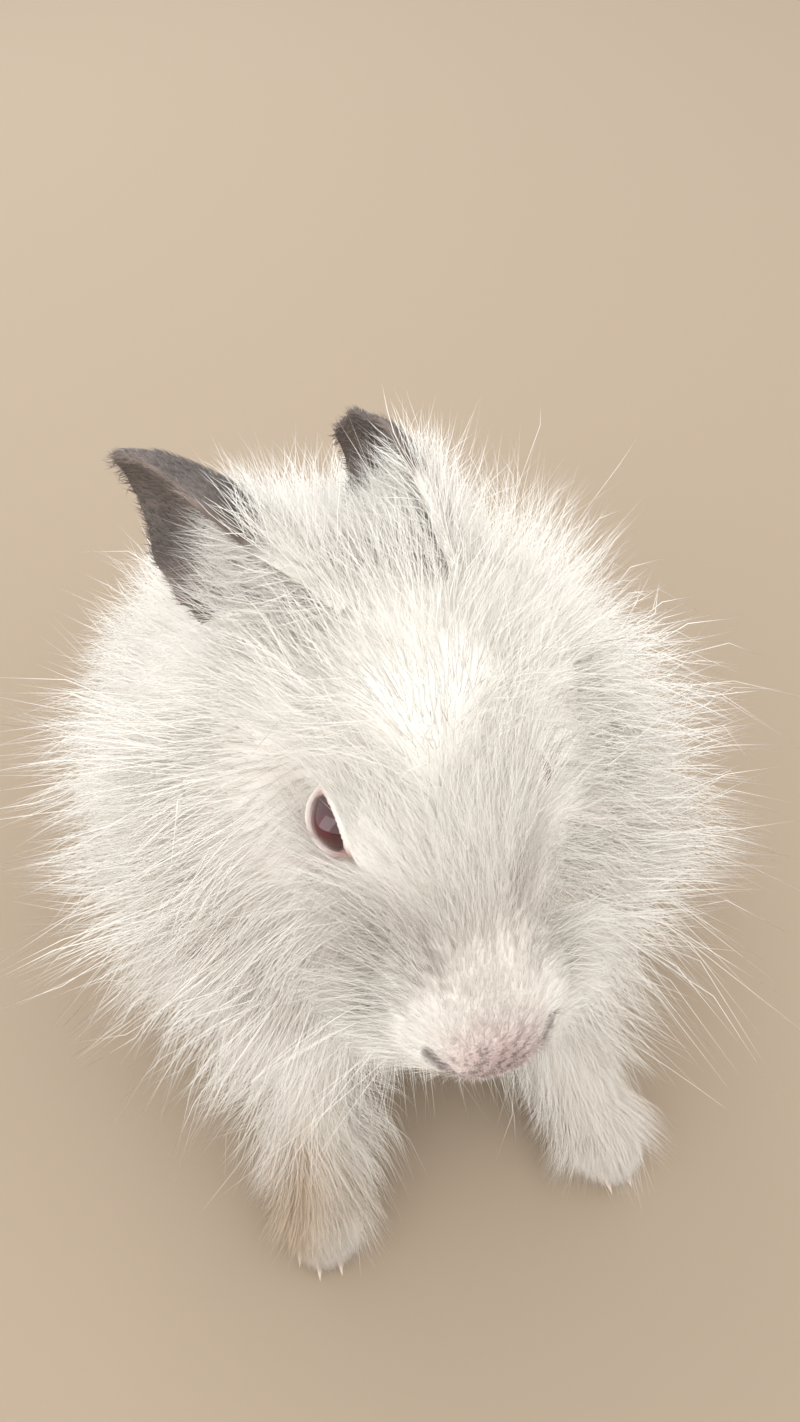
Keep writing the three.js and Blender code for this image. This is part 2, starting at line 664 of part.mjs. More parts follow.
for (const [name, side] of sides) {
  const region = haunchCorner(side, GAP / 2).intersect(dry)
  solids[`haunch_${name}`] = largest(cutAll(trimmed(haunchPart(side), region), roomsRound))
}
const haunchCorners = bothSides((side) => haunchCorner(side, -GAP / 2))
const torsoRegion = cutAll(behindNeck.intersect(dry), haunchCorners)
solids.torso = largest(cutAll(trimmed(TORSO_PART, torsoRegion), roomsRound))
const neckRegion = behindHead.subtract(beforeTorso).intersect(dry)
solids.neck = largest(cutAll(trimmed(NECK_PART, neckRegion), roomsRound))
const headCutters = [
  beforeHead,
  ...bothSides((side) => eyeball(side, EYE_RADIUS + GAP)),
  ...bothSides(lidOpening),
  ...bothSides(nostril),
  mouth,
  philtrum,
  ...rooms.ears,
  ...rooms.feet,
]
const wholeHead = joinAll([coreOf(HEAD_PART), ...bothSides(lids), ...locksFor(HEAD_PART)])
solids.head = largest(cutAll(wholeHead, headCutters))

// Surfaces for the nodes
const WHITE_COAT = { color: 0xf1ece2, roughness: 0.95 }
const DARK_EAR = { color: 0x6a605b, roughness: 0.9 }
const RUBY_EYE = { color: 0x7a1f33, roughness: 0.15 }
const HORN = { color: 0xcdb8a5, roughness: 0.5 }
function surfaceOf(name) {
  if (name.startsWith('ear')) {
    return DARK_EAR
  }
  if (name.startsWith('eye')) {
    return RUBY_EYE
  }
  return name.startsWith('claw') ? HORN : WHITE_COAT
}

const rabbit = new THREE.Group()
rabbit.name = 'rabbit'
for (const [name, solid] of Object.entries(solids)) {
  const { vertProperties, triVerts } = solid.getMesh()
  const geometry = new THREE.BufferGeometry()
  geometry.setAttribute('position', new THREE.BufferAttribute(Float32Array.from(vertProperties), 3))
  geometry.setIndex(new THREE.BufferAttribute(Uint32Array.from(triVerts), 1))
  geometry.translate(...ORIGIN_SHIFT.toArray())
  geometry.computeVertexNormals()
  const mesh = new THREE.Mesh(geometry, new THREE.MeshStandardMaterial(surfaceOf(name)))
  mesh.name = name
  rabbit.add(mesh)
}

export default rabbit
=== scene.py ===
import json
import math

import bpy
import numpy as np
from mathutils import Matrix, Vector, kdtree
from mathutils.bvhtree import BVHTree

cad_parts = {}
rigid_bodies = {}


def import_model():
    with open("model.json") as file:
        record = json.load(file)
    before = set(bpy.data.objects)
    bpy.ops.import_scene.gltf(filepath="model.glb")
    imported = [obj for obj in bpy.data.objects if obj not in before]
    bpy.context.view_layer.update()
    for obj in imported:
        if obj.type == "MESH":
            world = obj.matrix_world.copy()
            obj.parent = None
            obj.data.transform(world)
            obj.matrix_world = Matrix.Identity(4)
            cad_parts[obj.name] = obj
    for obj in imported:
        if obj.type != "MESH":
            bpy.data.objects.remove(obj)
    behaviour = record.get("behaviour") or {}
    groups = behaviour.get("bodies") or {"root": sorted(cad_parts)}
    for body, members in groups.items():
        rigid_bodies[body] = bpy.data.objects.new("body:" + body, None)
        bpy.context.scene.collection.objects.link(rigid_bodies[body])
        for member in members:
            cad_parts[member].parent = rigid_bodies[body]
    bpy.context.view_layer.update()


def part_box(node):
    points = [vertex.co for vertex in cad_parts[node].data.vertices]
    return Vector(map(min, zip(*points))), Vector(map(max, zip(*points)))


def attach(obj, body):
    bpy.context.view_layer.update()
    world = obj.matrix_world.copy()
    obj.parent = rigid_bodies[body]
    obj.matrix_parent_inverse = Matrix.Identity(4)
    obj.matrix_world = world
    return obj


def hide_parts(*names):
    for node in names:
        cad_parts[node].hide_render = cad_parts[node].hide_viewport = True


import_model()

MM = 0.001
DOWN = np.array([0.0, 0.0, -1.0])
FACE_SLOPE = math.radians(38)  # bridge of the nose below level
NOSEWARD = np.array([0, -math.cos(FACE_SLOPE), -math.sin(FACE_SLOPE)])
CROWNWARD = np.array([0, -math.sin(FACE_SLOPE), math.cos(FACE_SLOPE)])

# The eyes of the frame carry the whole head, and the rest is placed from the point between them
EYE_RADIUS = 7.0
EYE_LEVEL = np.array([0.0, -78.0, 150.0])
EYE_SPOT = (14.7, 0.5, -1.0)  # middle of the left eye in the head's own directions
SIDES = {"right": -1, "left": 1}
eye_middle = {side: np.array(sum(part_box(f"eye_{side}"), Vector())) / 2 for side in SIDES}
BETWEEN_EYES = (eye_middle["right"] + eye_middle["left"]) / 2
HEAD = BETWEEN_EYES - MM * (EYE_SPOT[1] * NOSEWARD + EYE_SPOT[2] * CROWNWARD)
SHIFT = HEAD - EYE_LEVEL * MM


def place(x, y, z):
    return np.array([x, y, z]) * MM + SHIFT


def on_head(x, s, t):
    """x across, s along the bridge toward the nose, t up out of the forehead."""
    return HEAD + MM * (np.array([x, 0, 0]) + s * NOSEWARD + t * CROWNWARD)


def toward_on_head(x, s, t):
    return unit(np.array([x, 0, 0]) + s * NOSEWARD + t * CROWNWARD)


def unit(v):
    v = np.asarray(v, float)
    return v / np.maximum(np.linalg.norm(v, axis=-1, keepdims=True), 1e-12)


def rise(low, high, value):
    share = np.clip((np.asarray(value, float) - low) / (high - low), 0, 1)
    return share * share * (3 - 2 * share)


def mix(a, b, share):
    return a + (b - a) * share


def blend(colour, other, shares):
    """Colours turned toward another by one share each."""
    return mix(colour, other, shares[:, None])


# Camera at the photograph's viewing angle
PHOTO_WIDTH, PHOTO_HEIGHT = 800, 1422
FOCAL_PIXELS = 1050
CAMERA_AZIMUTH, CAMERA_ELEVATION, CAMERA_ROLL = (math.radians(a) for a in (-12, 50, 3.6))
CAMERA_DISTANCE = 0.184  # to the point between the eyes
EYES_IN_PHOTO = (431, 793)


def make_camera():
    flat = math.cos(CAMERA_ELEVATION)
    back = np.array([
        math.sin(CAMERA_AZIMUTH) * flat, -math.cos(CAMERA_AZIMUTH) * flat, math.sin(CAMERA_ELEVATION)])
    level = unit(np.cross(-back, [0, 0, 1]))
    raised = np.cross(level, -back)
    right = math.cos(CAMERA_ROLL) * level - math.sin(CAMERA_ROLL) * raised
    up = math.sin(CAMERA_ROLL) * level + math.cos(CAMERA_ROLL) * raised
    across = (EYES_IN_PHOTO[0] - PHOTO_WIDTH / 2) / FOCAL_PIXELS
    below = (EYES_IN_PHOTO[1] - PHOTO_HEIGHT / 2) / FOCAL_PIXELS
    spot = HEAD + CAMERA_DISTANCE * (back - across * right + below * up)
    data = bpy.data.cameras.new("camera")
    data.sensor_width = 36
    data.lens = 36 * FOCAL_PIXELS / PHOTO_HEIGHT
    data.clip_start = 0.005
    camera = bpy.data.objects.new("camera", data)
    turn = Matrix((right, up, back)).transposed().to_4x4()
    camera.matrix_world = Matrix.Translation(Vector(spot)) @ turn
    bpy.context.collection.objects.link(camera)
    bpy.context.scene.camera = camera


make_camera()


# Forms of the body under the coat
def ball(x, y, z, rx, ry, rz):
    return {"at": place(x, y, z), "radii": (rx, ry, rz), "tilt": 0.0}


def head_ball(x, s, t, rx, rs, rt):
    return {"at": on_head(x, s, t), "radii": (rx, rs, rt), "tilt": FACE_SLOPE}


def limb(start, end, thick, thin):
    return {"start": start, "end": end, "thick": thick, "thin": thin}


def both(make):
    return [make(-1), make(1)]


HEAD_FORMS = [
    head_ball(0, -8, 1, 16.5, 27, 18),
    *both(lambda side: head_ball(side * 10, 0, 7, 7.5, 15, 8)),
    head_ball(0, 10, 4, 13, 22, 13.5),
    head_ball(0, 22, -1, 12.5, 25, 13.5),
    head_ball(0, 36.5, -1, 12.5, 12.5, 10.5),
    head_ball(0, 41.5, -1.5, 14, 9, 7.3),
    *both(lambda side: head_ball(side * 8.8, 35.5, -6, 10, 11.5, 9.5)),
    *both(lambda side: head_ball(side * 10.5, -4, -14, 9.5, 20, 13)),
    head_ball(0, 20, -15, 8, 20, 6.5),
    head_ball(0, 33, -16, 5.5, 6.5, 5),
    head_ball(0, -28, -4, 17, 16, 18),
    *both(lambda side: head_ball(side * 14.7, 0.5, -1, 7.6, 7.6, 7.6)),
]
NECK_FORMS = [ball(0, -58, 132, 21, 21, 21), ball(0, -44, 112, 25, 25, 25)]
TORSO_FORMS = [
    ball(0, -26, 80, 34, 36, 42),
    *both(lambda side: ball(side * 19, -34, 78, 17, 24, 32)),
    ball(0, 14, 65, 39, 44, 42),
    ball(0, 50, 45, 41, 42, 40),
    *both(lambda side: ball(side * 34, 40, 44, 21, 42, 38)),
    *both(lambda side: ball(side * 39, 8, 34, 14, 22, 26)),
]
LEG_FORMS = [
    *both(lambda side: limb(place(side * 28, -44, 52), place(side * 35, -84, 20), 10.5, 8.5)),
    *both(lambda side: limb(place(side * 35, -84, 17), place(side * 39, -104, 8), 8.5, 7.5)),
    *both(lambda side: limb(place(side * 38, 58, 10), place(side * 42, -12, 8.5), 9, 8.5)),
    *both(lambda side: ball(side * 42, -14, 8, 10, 12, 7)),
]
TAIL_FORMS = [limb(place(0, 86, 36), place(0, 104, 44), 9, 7)]

# Lie and length of the coat: where, how far it reaches, length, and the lie's direction for the left side
COAT_PLACES = [
    (on_head(0, 48, 1), 8, 1.2, (0, 0.8, 0.6)),
    (on_head(10, 45, 2), 4, 1.2, (0.3, 0.8, 0.5)),
    (on_head(14, 36, -5), 8, 9, (0.9, 0.4, 0)),
    (on_head(0, 36, 8), 7, 3.6, (0, 0.8, 0.6)),
    (on_head(0, 25, 12), 8, 7.5, (0, 0.8, 0.6)),
    (on_head(14, 26, -4), 8, 19, (0.9, 0.35, -0.2)),
    (on_head(21, 3, 3), 6, 4, (0.5, 0.8, 0.4)),
    (on_head(20, -11, 6), 7, 27, (0.6, 0.8, 0.4)),
    (on_head(21, 5, -10), 6, 22, (0.75, 0.2, -0.6)),
    (on_head(0, 15, 16), 8, 12, (0, 0.8, 0.6)),
    (on_head(0, 5, 19), 8, 18, (0, 0.8, 0.6)),
    (on_head(10, 4, 16), 6, 13, (-0.1, 0.9, 0.5)),
    (on_head(14.5, 4, 10), 5, 3, (-0.1, 0.9, 0.3)),
    (on_head(0, -5, 20), 8, 25, (0, 0.8, 0.6)),
    (on_head(11, -6, 16), 6, 24, (0.1, 0.9, 0.5)),
    (on_head(0, -16, 20), 9, 25, (0, 0.8, 0.6)),
    (on_head(13, -16, 14), 9, 29, (0.5, 0.8, 0.5)),
    (on_head(15, -26, 9), 10, 25, (0.6, 0.8, 0.4)),
    (on_head(0, -36, 14), 10, 14, (0, 1, 0.1)),
    (on_head(18, 16, -15), 9, 32, (0.85, 0.1, -0.5)),
    (on_head(22, -16, -12), 11, 58, (0.95, 0.3, -0.25)),
    (on_head(18, -2, -22), 10, 46, (0.85, 0, -0.5)),
    (on_head(0, 34, -21), 8, 7, (0, 0.3, -0.8)),
    (on_head(0, 8, -28), 12, 28, (0, 0.2, -1)),
    (place(0, -34, 150), 14, 17, (0, 1, -0.1)),
    (place(24, -36, 138), 10, 23, (0.6, 0.7, -0.3)),
    (place(28, -48, 116), 15, 65, (0.95, 0.1, -0.4)),
    (place(26, -64, 102), 14, 64, (0.9, -0.2, -0.45)),
    (place(0, -70, 92), 18, 36, (0, -0.3, -1)),
    (place(0, -12, 128), 20, 31, (0, 1, -0.1)),
    (place(0, 20, 112), 22, 37, (0, 1, -0.3)),
    (place(0, 68, 78), 22, 33, (0, 0.9, -0.6)),
    (place(38, -34, 84), 20, 53, (0.85, 0, -0.45)),
    (place(42, 6, 70), 20, 44, (0.5, 0.7, -0.5)),
    (place(53, 4, 34), 16, 30, (0.3, 0.6, -0.8)),
    (place(56, 42, 50), 26, 28, (0.3, 0.8, -0.6)),
    (place(0, 92, 45), 20, 30, (0, 0.8, -0.6)),
    (place(0, 10, 20), 18, 14, (0, 0.7, -0.5)),
    (place(29, -52, 44), 9, 14, (0.1, -0.3, -1)),
    (place(35, -82, 22), 9, 12, (0.1, -0.3, -1)),
    (place(39, -104, 8), 7, 4, (0, -1, -0.3)),
    (place(40, 10, 8), 10, 7, (0, -0.8, -0.2)),
    (place(42, -20, 8), 8, 4, (0, -1, -0.2)),
    (place(0, 96, 40), 9, 18, (0, 0.9, 0.4)),
]


def coat_at(points):
    """Length of the coat in millimetres and direction of its lie at points on the skin."""
    folded = np.column_stack([np.abs(points[:, 0] - SHIFT[0]) + SHIFT[0], points[:, 1], points[:, 2]])
    lengths = np.zeros(len(points))
    lies = np.zeros((len(points), 3))
    weights = np.zeros(len(points))
    for spot, reach, length, lie in COAT_PLACES:
        weight = 1 / (0.02 + (np.linalg.norm(folded - spot, axis=1) / (reach * MM)) ** 4)
        lengths += weight * length
        lies += weight[:, None] * unit(lie)
        weights += weight
    side = np.where(points[:, 0] >= SHIFT[0], 1.0, -1.0)
    lies[:, 0] *= side
    return lengths / weights, unit(lies)


# Modelling helpers
def only(piece):
    bpy.ops.object.select_all(action="DESELECT")
    piece.select_set(True)
    bpy.context.view_layer.objects.active = piece


def add_ball(centre, radii, tilt=0.0, segments=32):
    bpy.ops.mesh.primitive_uv_sphere_add(segments=segments, ring_count=segments // 2, radius=1)
    piece = bpy.context.active_object
    piece.matrix_world = (
        Matrix.Translation(Vector(centre))
        @ Matrix.Rotation(tilt, 4, "X")
        @ Matrix.Diagonal((*[r * MM for r in radii], 1)))
    return piece


def add_limb(form):
    start, end = Vector(form["start"]), Vector(form["end"])
    thick, thin = form["thick"], form["thin"]
    bpy.ops.mesh.primitive_cone_add(
        vertices=32, radius1=thick * MM, radius2=thin * MM,
        depth=(end - start).length, location=(start + end) / 2)
    piece = bpy.context.active_object
    piece.rotation_mode = "QUATERNION"
    piece.rotation_quaternion = (end - start).to_track_quat("Z", "Y")
    return [piece, add_ball(start, (thick,) * 3), add_ball(end, (thin,) * 3)]


def join(pieces, name):
    bpy.ops.object.select_all(action="DESELECT")
    for piece in pieces:
        piece.select_set(True)
    bpy.context.view_layer.objects.active = pieces[0]
    bpy.ops.object.transform_apply(location=True, rotation=True, scale=True)
    bpy.ops.object.join()
    whole = bpy.context.active_object
    whole.name = name
    whole.data.name = name
    bpy.ops.object.transform_apply(location=True, rotation=True, scale=True)
    return whole


def apply_modifier(piece, kind, **settings):
    only(piece)
    modifier = piece.modifiers.new(kind.lower(), kind)
    for key, value in settings.items():
        setattr(modifier, key, value)
    bpy.ops.object.modifier_apply(modifier=modifier.name)


def points_of(piece):
    found = np.zeros(len(piece.data.vertices) * 3)
    piece.data.vertices.foreach_get("co", found)
    return found.reshape(-1, 3)


def normals_of(piece):
    found = np.zeros(len(piece.data.vertices) * 3)
    piece.data.vertex_normals.foreach_get("vector", found)
    return found.reshape(-1, 3)


def move_points(piece, points):
    piece.data.vertices.foreach_set("co", np.asarray(points, np.float32).ravel())
    piece.data.update()


# Eye openings: directions along the slit, up from it, and out of the eye
def eye_axes(side):
    look = toward_on_head(side * 0.8, 0.08, 0.6)
    slit = toward_on_head(-side * 0.29, 0.96, 0)
    slit = unit(slit - slit.dot(look) * look)
    return slit, np.cross(look, slit), look


OPENING_HALF_LENGTH, OPENING_HALF_HEIGHT = 6.2, 3.9
OPENING_ARC = (OPENING_HALF_LENGTH ** 2 / OPENING_HALF_HEIGHT + OPENING_HALF_HEIGHT) / 2
LID_HEIGHT = 0.7  # of the lid's roll over the eye
LID_FADE = 3.5  # width over which the lid melts into the skin


def almond(points, name):
    """Millimetres outside the eye's opening, where two arcs overlap, and out of the eye's middle."""
    slit, up, look = eye_axes(SIDES[name])
    local = (points - eye_middle[name]) / MM
    along, over = local @ slit, local @ up
    above = np.hypot(along, over + OPENING_ARC - OPENING_HALF_HEIGHT) - OPENING_ARC
    below = np.hypot(along, over - OPENING_ARC + OPENING_HALF_HEIGHT) - OPENING_ARC
    return np.maximum(above, below), local @ look


def from_eyes(points):
    """Millimetres to the nearer line of sight."""
    nearest = np.full(len(points), 1e3)
    for name, side in SIDES.items():
        look = eye_axes(side)[2]
        away = (points - eye_middle[name]) / MM
        ahead = np.maximum(away @ look, 0)
        nearest = np.minimum(nearest, np.linalg.norm(away - ahead[:, None] * look, axis=1))
    return nearest


def shape_lids(points):
    """Opens an almond over each eye and rolls a lid round it."""
    for name, side in SIDES.items():
        look = eye_axes(side)[2]
        outside, out_of_eye = almond(points, name)
        aside = np.linalg.norm((points - eye_middle[name]) / MM - out_of_eye[:, None] * look, axis=1)
        close = (out_of_eye > 0) & (outside < LID_FADE) & (aside < EYE_RADIUS + LID_FADE)
        over_eye = np.sqrt(np.maximum((EYE_RADIUS + 0.25) ** 2 - aside ** 2, 1.0))
        roll = over_eye + LID_HEIGHT * rise(-0.1, 0.9, outside)
        under = over_eye - 1.6 * rise(0, -0.8, outside)
        share = np.where(close, 1 - rise(1.0, LID_FADE, outside), 0)
        lidded = np.where(outside < 0, under, np.maximum(roll, out_of_eye * 0.6 + roll * 0.4))
        points = points + (share * (lidded - out_of_eye) * MM)[:, None] * look
    return points


# Nostrils, the line of the mouth and the cleft, as directions from the middle of the muzzle
MUZZLE = on_head(0, 30, -3)
NOSTRIL = [(6.5, 18, 2), (9.5, 16.5, 5), (12, 14.5, 5.5)]
MOUTH_HALF = [(4.5, 14, -8.5), (9, 11, -9), (13, 6, -9)]
MOUTH = [*[(-x, s, t) for x, s, t in reversed(MOUTH_HALF)], (0, 15, -6.5), *MOUTH_HALF]
CLEFT = [(0, 17, 0), (0, 16.5, -3), (0, 15, -6.5)]


def from_line(points, targets):
    """Millimetres between points on the muzzle and a line drawn on it."""
    away = (points - MUZZLE) / MM
    distance = np.linalg.norm(away, axis=1)
    facing = away / np.maximum(distance, 1e-9)[:, None]
    corners = [toward_on_head(*target) for target in targets]
    nearest = np.full(len(points), 9.0)
    for a, b in zip(corners, corners[1:]):
        share = np.clip(((facing - a) @ (b - a)) / ((b - a) @ (b - a)), 0, 1)
        gap = np.linalg.norm(facing - a - share[:, None] * (b - a), axis=1)
        nearest = np.minimum(nearest, gap)
    return nearest * distance


def both_nostrils(points):
    flipped = [(-x, s, t) for x, s, t in NOSTRIL]
    return np.minimum(from_line(points, NOSTRIL), from_line(points, flipped))


def shape_muzzle(points):
    inward = unit(MUZZLE - points)
    depth = 1.8 * np.exp(-((both_nostrils(points) / 1.0) ** 2))
    depth += 1.1 * np.exp(-((from_line(points, MOUTH) / 0.9) ** 2))
    depth += 0.9 * np.exp(-((from_line(points, CLEFT) / 0.7) ** 2))
    close = np.linalg.norm(points - MUZZLE, axis=1) < 30 * MM
    return points + (depth * close * MM)[:, None] * inward


BAKE_MAP = "OFBake"
SKIN_GRAIN, UNDERWOOL_GRAIN = 1.8, 2.4  # width of the faces
SKIN_FROM_FLOOR, UNDERWOOL_FROM_FLOOR = 0.8, 1.2
FACE_FINE = 34 * MM  # radius round the eyes and muzzle with a finer skin


def body_form(name, grain):
    """The whole body as one closed surface, with the grain of its faces in millimetres."""
    pieces = []
    for form in HEAD_FORMS + NECK_FORMS + TORSO_FORMS + LEG_FORMS + TAIL_FORMS:
        if "at" in form:
            pieces.append(add_ball(form["at"], form["radii"], form["tilt"]))
        else:
            pieces += add_limb(form)
    body = join(pieces, name)
    apply_modifier(body, "REMESH", mode="VOXEL", voxel_size=grain * MM)
    apply_modifier(body, "SMOOTH", factor=0.5, iterations=10)
    return body


def raise_from(body, height):
    points = points_of(body)
    points[:, 2] = np.maximum(points[:, 2], height * MM)
    move_points(body, points)


def make_skin():
    skin = body_form("skin", SKIN_GRAIN)
    raise_from(skin, SKIN_FROM_FLOOR)
    unwrap(skin)
    for radius in (FACE_FINE, FACE_FINE * 0.8):
        refine(skin, radius)
    move_points(skin, shape_muzzle(shape_lids(points_of(skin))))
    bpy.ops.object.shade_smooth()
    return skin


UNDERWOOL_SHARE = 0.38  # thickness as a share of the coat's length
THINNEST_UNDERWOOL, FULL_UNDERWOOL = 15, 42  # coat where it begins and where it has its full thickness
CLEAR_OF_EYES, FULL_FROM_EYES = 10, 25  # the same for the distance from the eyes' lines of sight
UNDER_SKIN = 1.5  # depth of the underwool where the coat is short
SWELLING_STEPS = 5


def make_underwool():
    """Dense wool swollen out of the body under the long hair; it stays under the skin elsewhere."""
    dense = body_form("underwool", UNDERWOOL_GRAIN)
    coat = coat_at(points_of(dense))[0]
    full = rise(THINNEST_UNDERWOOL, FULL_UNDERWOOL, coat)
    full *= rise(CLEAR_OF_EYES, FULL_FROM_EYES, from_eyes(points_of(dense)))
    height = mix(-UNDER_SKIN, UNDERWOOL_SHARE * coat, full) * MM
    for _ in range(SWELLING_STEPS):
        move_points(dense, points_of(dense) + normals_of(dense) * height[:, None] / SWELLING_STEPS)
        apply_modifier(dense, "SMOOTH", factor=0.5, iterations=2)
    apply_modifier(dense, "REMESH", mode="VOXEL", voxel_size=UNDERWOOL_GRAIN * MM)
    apply_modifier(dense, "SMOOTH", factor=0.5, iterations=6)
    raise_from(dense, UNDERWOOL_FROM_FLOOR)
    unwrap(dense)
    bpy.ops.object.shade_smooth()
    return dense


def unwrap(piece):
    only(piece)
    piece.data.uv_layers.new(name=BAKE_MAP)
    bpy.ops.object.mode_set(mode="EDIT")
    bpy.ops.mesh.select_all(action="SELECT")
    bpy.ops.uv.smart_project(angle_limit=math.radians(66), island_margin=0.003)
    bpy.ops.object.mode_set(mode="OBJECT")


def refine(piece, radius):
    """Halves the faces round the eyes and the muzzle."""
    only(piece)
    points = points_of(piece)
    front = np.linalg.norm(points - on_head(0, 22, 0), axis=1) < radius
    for name in SIDES:
        front |= np.linalg.norm(points - eye_middle[name], axis=1) < radius * 0.4
    faces = np.array([all(front[v] for v in polygon.vertices) for polygon in piece.data.polygons])
    piece.data.vertices.foreach_set("select", np.zeros(len(points), bool))
    piece.data.edges.foreach_set("select", np.zeros(len(piece.data.edges), bool))
    piece.data.polygons.foreach_set("select", faces)
    bpy.ops.object.mode_set(mode="EDIT")
    bpy.ops.mesh.select_mode(type="FACE")
    bpy.ops.mesh.subdivide(number_cuts=1, smoothness=0.6)
    bpy.ops.mesh.select_all(action="SELECT")
    bpy.ops.mesh.quads_convert_to_tris()
    bpy.ops.object.mode_set(mode="OBJECT")


skin = make_skin()

# Markings and painted shade, shared by the skin and the coat
CREAM = np.array([0.96, 0.935, 0.89])
WARM = np.array([0.88, 0.82, 0.74])
PAINTED_SHADE = np.array([0.74, 0.69, 0.63])
PINK = np.array([0.72, 0.51, 0.49])
LID = np.array([0.42, 0.20, 0.20])
SMUDGE = np.array([0.36, 0.31, 0.28])
# Colour of the freckles on the nose, also used as painted shade in the nostril slits
FRECKLE_AND_NOSTRIL_SHADE = np.array([0.12, 0.075, 0.065])
OCHRE = np.array([0.46, 0.27, 0.09])
SMUDGES = [  # place, reach and strength
    (on_head(-10, 25, 7), 9, 0.8),
    (on_head(-8.5, 31, 7), 7.2, 0.6),
    (on_head(8, 18, 12), 7.2, 0.5),
    (on_head(9.5, 24, 9), 8.1, 0.7),
    (on_head(11, 31, 5), 6.3, 0.5),
    (on_head(-14, 34, -2), 9, 0.5),
    (on_head(-17, 24, -10), 10.8, 0.4),
]
NOSE, NOSE_REACH, FRECKLED_REACH = on_head(0, 46, 3), 13, 12
# Spot and reach of the painted shade on the bridge of the nose
BRIDGE, BRIDGE_REACH = on_head(1, 28, 9), 26
STAINED_PAW, STAIN_REACH = place(-48, -94, 18), 26
INNER_CORNER = (6.5, 3.5)  # of an eye, along its slit and out from its middle


def near(points, spot, reach):
    """1 at the spot, falling to 0 at its reach in millimetres."""
    return 1 - rise(0.25 * reach, reach, np.linalg.norm(points - spot, axis=1) / MM)


def markings_and_painted_shade(points):
    """Colour of the skin and of the hair that grows at each point."""
    # Warmer and darker towards the bottom
    low = 1 - rise(14, 74, points[:, 2] / MM)
    ruffled = 0.5 + 0.5 * wander(points, 12, 7)[:, 0]
    colour = blend(CREAM, WARM, 0.55 * low + 0.15 * ruffled)
    # Painted shade: the bridge of the nose, lying lower than the forehead, is darkened toward grey-beige
    colour = blend(colour, PAINTED_SHADE, 0.65 * near(points, BRIDGE, BRIDGE_REACH))
    patchy = rise(-0.3, 0.4, wander(points, 1.4, 8)[:, 1])
    for spot, reach, strength in SMUDGES:
        colour = blend(colour, SMUDGE, strength * patchy * near(points, spot, reach))
    colour = blend(colour, PINK, 0.55 * near(points, NOSE, NOSE_REACH))
    freckled = rise(0.2, 0.5, wander(points, 0.4, 9)[:, 2])
    colour = blend(colour, FRECKLE_AND_NOSTRIL_SHADE, 0.7 * freckled * near(points, NOSE, FRECKLED_REACH))
    # Painted shade: the nostril slits are darkened nearly to black
    nostrils = 1 - rise(0.6, 2.0, both_nostrils(points))
    colour = blend(colour, FRECKLE_AND_NOSTRIL_SHADE, 0.97 * nostrils * near(points, NOSE, NOSE_REACH * 2))
    stained = np.clip(0.7 + 0.5 * wander(points, 4, 10)[:, 0], 0, 1)
    colour = blend(colour, OCHRE, 0.9 * stained * near(points, STAINED_PAW, STAIN_REACH))
    for name, side in SIDES.items():
        slit, _, look = eye_axes(side)
        corner = eye_middle[name] + (INNER_CORNER[0] * slit + INNER_CORNER[1] * look) * MM
        colour = blend(colour, PINK, 0.7 * near(points, corner, 5))
        rim = 1 - rise(0.1, 0.9, np.abs(almond(points, name)[0]))
        colour = blend(colour, LID, 0.7 * rim * near(points, eye_middle[name], 2 * EYE_RADIUS))
    return colour


def wander(points, size, seed):
    """Smooth waves over space, between about -1 and 1, in three directions."""
    random = np.random.default_rng(seed)
    total = np.zeros((len(points), 3))
    for _ in range(5):
        wave = random.normal(size=(3, 3)) / (size * MM)
        total += np.sin(points @ wave + random.random(3) * 2 * math.pi)
    return total / 3


def tint_piece(piece, colours):
    tint = piece.data.attributes.new("tint", "FLOAT_COLOR", "POINT")
    opaque = np.column_stack([colours, np.ones(len(colours))])
    tint.data.foreach_set("color", opaque.astype(np.float32).ravel())


# Materials
def new_material(name, **values):
    material = bpy.data.materials.new(name)
    material.use_nodes = True
    shader = material.node_tree.nodes["Principled BSDF"]
    for socket, value in values.items():
        shader.inputs[socket.replace("_", " ")].default_value = value
    return material


def colour_from_tint(material):
    nodes, links = material.node_tree.nodes, material.node_tree.links
    tint = nodes.new("ShaderNodeAttribute")
    tint.attribute_name = "tint"
    links.new(tint.outputs["Color"], nodes["Principled BSDF"].inputs["Base Color"])
    return material


def add_grain(material, size, depth):
    """Fine bumps, size and depth in millimetres, on the object's own coordinates."""
    nodes, links = material.node_tree.nodes, material.node_tree.links
    spot = nodes.new("ShaderNodeTexCoord")
    noise = nodes.new("ShaderNodeTexNoise")
    noise.inputs["Scale"].default_value = 1 / (size * MM)
    bump = nodes.new("ShaderNodeBump")
    bump.inputs["Distance"].default_value = depth * MM
    links.new(spot.outputs["Object"], noise.inputs["Vector"])
    links.new(noise.outputs["Fac"], bump.inputs["Height"])
    links.new(bump.outputs["Normal"], nodes["Principled BSDF"].inputs["Normal"])
    return material


wool = colour_from_tint(new_material("wool", Roughness=0.7, Sheen_Weight=0.2, Sheen_Roughness=0.5))
hide = add_grain(colour_from_tint(new_material("hide", Roughness=0.75)), 0.5, 0.25)
skin.data.materials.append(hide)
tint_piece(skin, markings_and_painted_shade(points_of(skin)))
underwool = make_underwool()
underwool.data.materials.append(hide)
tint_piece(underwool, markings_and_painted_shade(points_of(underwool)))
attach(underwool, "root")


